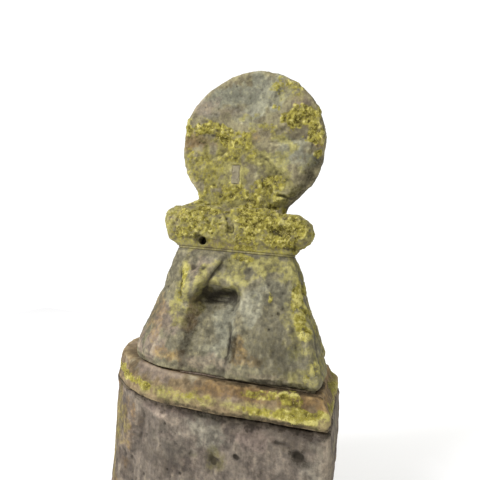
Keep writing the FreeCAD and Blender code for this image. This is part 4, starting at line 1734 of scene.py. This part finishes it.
    def dial(self) -> DialStone:
        """The dial stone, grey above, with bands of lichen on its face."""
        patches = (
            front(Growth.LICHEN, (124, 780, 44, 26, 0.95), (154, 758, 20, 24, 0.95), (-64, 755, 50, 17, 0.85))
            + front(Growth.LICHEN, (-12, 746, 50, 17, 0.8), (166, 717, 11, 10, 0.95), (166, 736, 12, 18, 0.6))
            + front(Growth.LICHEN, (66, 650, 34, 20, 0.7), (-40, 676, 44, 60, 0.46), (10, 626, 80, 24, 0.62))
            + front(Growth.LICHEN, (96, 838, 34, 18, 0.5), (-84, 700, 18, 34, 0.5), (14, 716, 44, 34, 0.5))
            + front(Growth.LICHEN, (-80, 668, 40, 40, 0.45))
            + front(Growth.LICHEN, (60, 604, 60, 14, 0.6), (-44, 604, 50, 12, 0.6), (84, 760, 40, 14, 0.4))
            + front(Growth.OLIVE, (-10, 690, 100, 70, 1.25), (10, 616, 110, 28, 1.4), (84, 680, 60, 60, 0.75))
            + front(Growth.OLIVE, (-60, 740, 50, 30, 0.5), (140, 780, 46, 34, 0.6), (110, 826, 50, 26, 0.5))
            + front(Growth.PALE, (40, 818, 64, 44, 1.1), (-30, 816, 56, 40, 1.1), (112, 708, 46, 30, 1.1))
            + front(Growth.PALE, (20, 780, 40, 26, 0.5), (52, 676, 28, 24, 0.4), (70, 700, 30, 18, 0.5))
            + front(Growth.MAUVE, (-62, 798, 34, 18, 0.7), (124, 808, 26, 14, 0.8), (-20, 790, 40, 14, 0.5))
            + front(Growth.OCHRE, (-78, 728, 44, 26, 1.0), (-40, 724, 30, 16, 0.6), (168, 734, 14, 14, 0.9))
            + front(Growth.OCHRE, (42, 740, 30, 14, 0.6), (140, 770, 16, 14, 0.6))
            # The spot at z 628 is painted shade in the groove.
            + front(Growth.GRIME_AND_SHADE, (-72, 728, 40, 20, 0.75), (100, 664, 30, 14, 0.4), (124, 628, 26, 12, 0.7))
            # Painted shade on the broken rim, which turns away from the light.
            + front(Growth.GRIME_AND_SHADE, (170, 700, 12, 30, 0.75), (158, 666, 18, 22, 0.8), (142, 642, 22, 16, 0.8))
            # The first row is painted shade along the disc's left rim.
            + front(Growth.GRIME_AND_SHADE, (-100, 726, 8, 60, 0.4), (20, 800, 24, 8, 0.25), (96, 746, 30, 6, 0.3))
            + back(Growth.LICHEN, (-20, 690, 60, 50, 0.8), (90, 790, 50, 30, 0.8), (30, 620, 70, 22, 0.9))
            + back(Growth.OLIVE, (30, 660, 110, 60, 0.8), (110, 780, 60, 50, 0.5))
            + back(Growth.PALE, (0, 800, 80, 50, 0.8), (110, 700, 50, 40, 0.5))
            + back(Growth.MAUVE, (-60, 760, 40, 30, 0.6))
        )
        return DialStone(
            "dial_stone", "lichened_stone", self.finishes.dial, (1.6, 1.6, 1.6), 71, self.UPPER,
            {Growth.OLIVE: 0.25, Growth.LICHEN: 0.08, Growth.PALE: 0.15}, patches,
        )


@dataclass
class Joints:
    """The mortar beds and the lead plug.

    Attributes:
        finishes: The materials.
    """

    finishes: Finishes

    def pieces(self) -> list[Carving]:
        """Lists the joints from the bottom up."""
        mortar, lower, upper = self.finishes.mortar, Stones.LOWER, Stones.UPPER
        dull = {Growth.OCHRE: 0.4, Growth.GRIME_AND_SHADE: 0.55}
        crusted = {Growth.OLIVE: 0.9, Growth.LICHEN: 0.4}
        grown = {Growth.OLIVE: 0.7, Growth.MAUVE: 0.3, Growth.LICHEN: 0.2}
        foot = front(Growth.PALE, (12, 298, 50, 10, 0.6)) + front(Growth.MAUVE, (0, 298, 60, 10, 0.9))
        return [
            MortarBed(
                "ledge_mortar_bed", "lime_mortar", mortar, (2.6, 2.6, 0.8), 5, lower, dull,
                cheek=210.0, corner=6.0, swell=18.0, flush=(-200.0, 60.0), margin=26.0,
                seams=(Stones.DIE_SEAM,),
            ),
            MortarBed(
                "bell_mortar_bed", "lime_mortar", mortar, (2.6, 2.6, 0.8), 6, lower, dull, foot,
                cheek=134.0, corner=14.0, bulge=(0.0, -6.0, -3.0, -3.0), swell=3.5, margin=12.0,
                seams=(Stones.BELL_SEAM,),
            ),
            MortarBed(
                "capital_mortar_bed", "lime_mortar", mortar, (2.0, 2.0, 0.8), 7, upper, grown,
                cheek=30.0, corner=20.0, bulge=(18.0, 15.0, 16.0, 16.0), margin=24.0,
                seams=(Stones.CAPITAL_SEAM,),
            ),
            MortarBed(
                "dial_mortar_bed", "lime_mortar", mortar, (1.5, 1.5, 0.8), 8, upper, crusted,
                bulge=(4.0, 2.0, 4.0, 3.0), margin=12.0,
            ),
            LeadPlug("gnomon_lead", "lead", self.finishes.lead, (0.8, 0.8, 0.8), 9),
        ]


# Node, grains to the square metre, radius of a grain in metres and seed.
TUFTS = (
    ("ledge", 42000.0, 0.0011, 3),
    ("bell", 60000.0, 0.0012, 4),
    ("capital", 90000.0, 0.0013, 5),
    ("dial_stone", 60000.0, 0.0012, 6),
)


@dataclass
class Studio:
    """Pale floor, soft lights and the camera.

    Attributes:
        place: Camera position in metres.
        heading: How far the view turns from straight ahead, in degrees.
        roll: How far the camera leans, in degrees.
        lens: Focal length in millimetres.
    """

    place: tuple[float, float, float] = (0.2595, -0.884, 0.540)
    heading: float = 15.0
    roll: float = 4.7
    lens: float = 34.5

    SENSOR = 36.0
    REACH = 1.7
    FLOOR_GLOW = 0.32
    BACKDROP = 1.15
    FILL = 0.34

    def camera(self) -> None:
        """Sets the camera, level and a little rolled."""
        lens = bpy.data.cameras.new("view")
        lens.lens = self.lens
        lens.sensor_width = self.SENSOR
        lens.clip_start = 0.05
        holder = bpy.data.objects.new("view", lens)
        turn, roll = math.radians(self.heading), math.radians(self.roll)
        side = Vector((math.cos(turn), math.sin(turn), 0.0))
        ahead = Vector((-math.sin(turn), math.cos(turn), 0.0))
        up = Vector((0.0, 0.0, 1.0))
        axis_x = side * math.cos(roll) + up * math.sin(roll)
        axis_y = up * math.cos(roll) - side * math.sin(roll)
        matrix = Matrix((axis_x, axis_y, -ahead)).transposed().to_4x4()
        matrix.translation = Vector(self.place)
        holder.matrix_world = matrix
        bpy.context.scene.collection.objects.link(holder)
        bpy.context.scene.camera = holder

    def floor(self) -> None:
        """Lays the pale floor under the die."""
        reach = self.REACH
        corners = np.array([(-reach, -reach, 0), (reach, -reach, 0), (reach, reach, 0), (-reach, reach, 0)])
        plane = new_mesh("floor", corners * METRE, [(0, 1, 2, 3)])
        sheet = NodeSheet("pale_floor")
        pale = sheet.blend(sheet.noise(2.0), tone(246, 246, 244), tone(252, 252, 251))
        sheet.shader.inputs["Emission Color"].default_value = (1.0, 1.0, 1.0, 1.0)
        sheet.shader.inputs["Emission Strength"].default_value = self.FLOOR_GLOW
        plane.data.materials.append(sheet.finish(pale, 0.9, sheet.bump(sheet.noise(30.0), 0.02, 0.001)))

    def lamp(self, name: str, place: tuple, aim: tuple, size: float, power: float, hue: Colour) -> None:
        """Hangs one soft square light.

        Args:
            name: Name of the light.
            place: Where it hangs, in metres.
            aim: Point that it faces.
            size: Length of its side.
            power: Its power in watts.
            hue: Its colour.
        """
        light = bpy.data.lights.new(name, "AREA")
        light.size = size
        light.energy = power
        light.color = hue
        holder = bpy.data.objects.new(name, light)
        holder.location = place
        holder.rotation_euler = (Vector(aim) - Vector(place)).to_track_quat("-Z", "Y").to_euler()
        bpy.context.scene.collection.objects.link(holder)

    def sky(self, seen: float, felt: float) -> None:
        """Makes the surroundings white to look at and softer as a light.

        Args:
            seen: Brightness behind the object.
            felt: Brightness that falls on it.
        """
        world = bpy.data.worlds.new("studio")
        world.use_nodes = True
        nodes, links = world.node_tree.nodes, world.node_tree.links
        path = nodes.new("ShaderNodeLightPath")
        mix = nodes.new("ShaderNodeMapRange")
        mix.inputs["To Min"].default_value = felt
        mix.inputs["To Max"].default_value = seen
        links.new(path.outputs["Is Camera Ray"], mix.inputs["Value"])
        ground = nodes["Background"]
        ground.inputs["Color"].default_value = (1.0, 1.0, 1.0, 1.0)
        links.new(mix.outputs["Result"], ground.inputs["Strength"])
        bpy.context.scene.world = world

    def build(self) -> None:
        """Sets floor, lights and camera."""
        self.floor()
        self.sky(self.BACKDROP, self.FILL)
        self.lamp("key", (-1.4, -1.8, 2.3), (0.0, 0.0, 0.55), 0.8, 79.0, (0.93, 0.925, 1.0))
        self.lamp("rear", (0.6, 2.2, 2.0), (0.0, 0.0, 0.5), 1.6, 34.0, (1.0, 0.99, 0.97))
        self.camera()
        bpy.context.scene.view_settings.view_transform = "Standard"


def main() -> None:
    """Builds the sundial from the die up, then the studio."""
    logging.basicConfig(level=logging.INFO, format="%(message)s")
    finishes = Finishes()
    stones = Stones(finishes)
    built = {}
    for carving in (stones.die(), stones.ledge(), stones.bell(), stones.capital(), stones.dial()):
        built[carving.node] = carving.build()
        LOG.info("%s: %d faces", carving.node, len(built[carving.node].data.polygons))
    for joint in Joints(finishes).pieces():
        piece = joint.build()
        LOG.info("%s: %d faces", joint.node, len(piece.data.polygons))
    for node, density, size, seed in TUFTS:
        tufts = LichenTufts(built[node], f"{node}_lichen", finishes.tufts, density, size, seed).build()
        LOG.info("%s: %d faces", tufts.name, len(tufts.data.polygons))
    LOG.info("hidden metal nodes dressed: %d", FixedIron(finishes).dress())
    Studio().build()


if __name__ == "__main__":
    main()
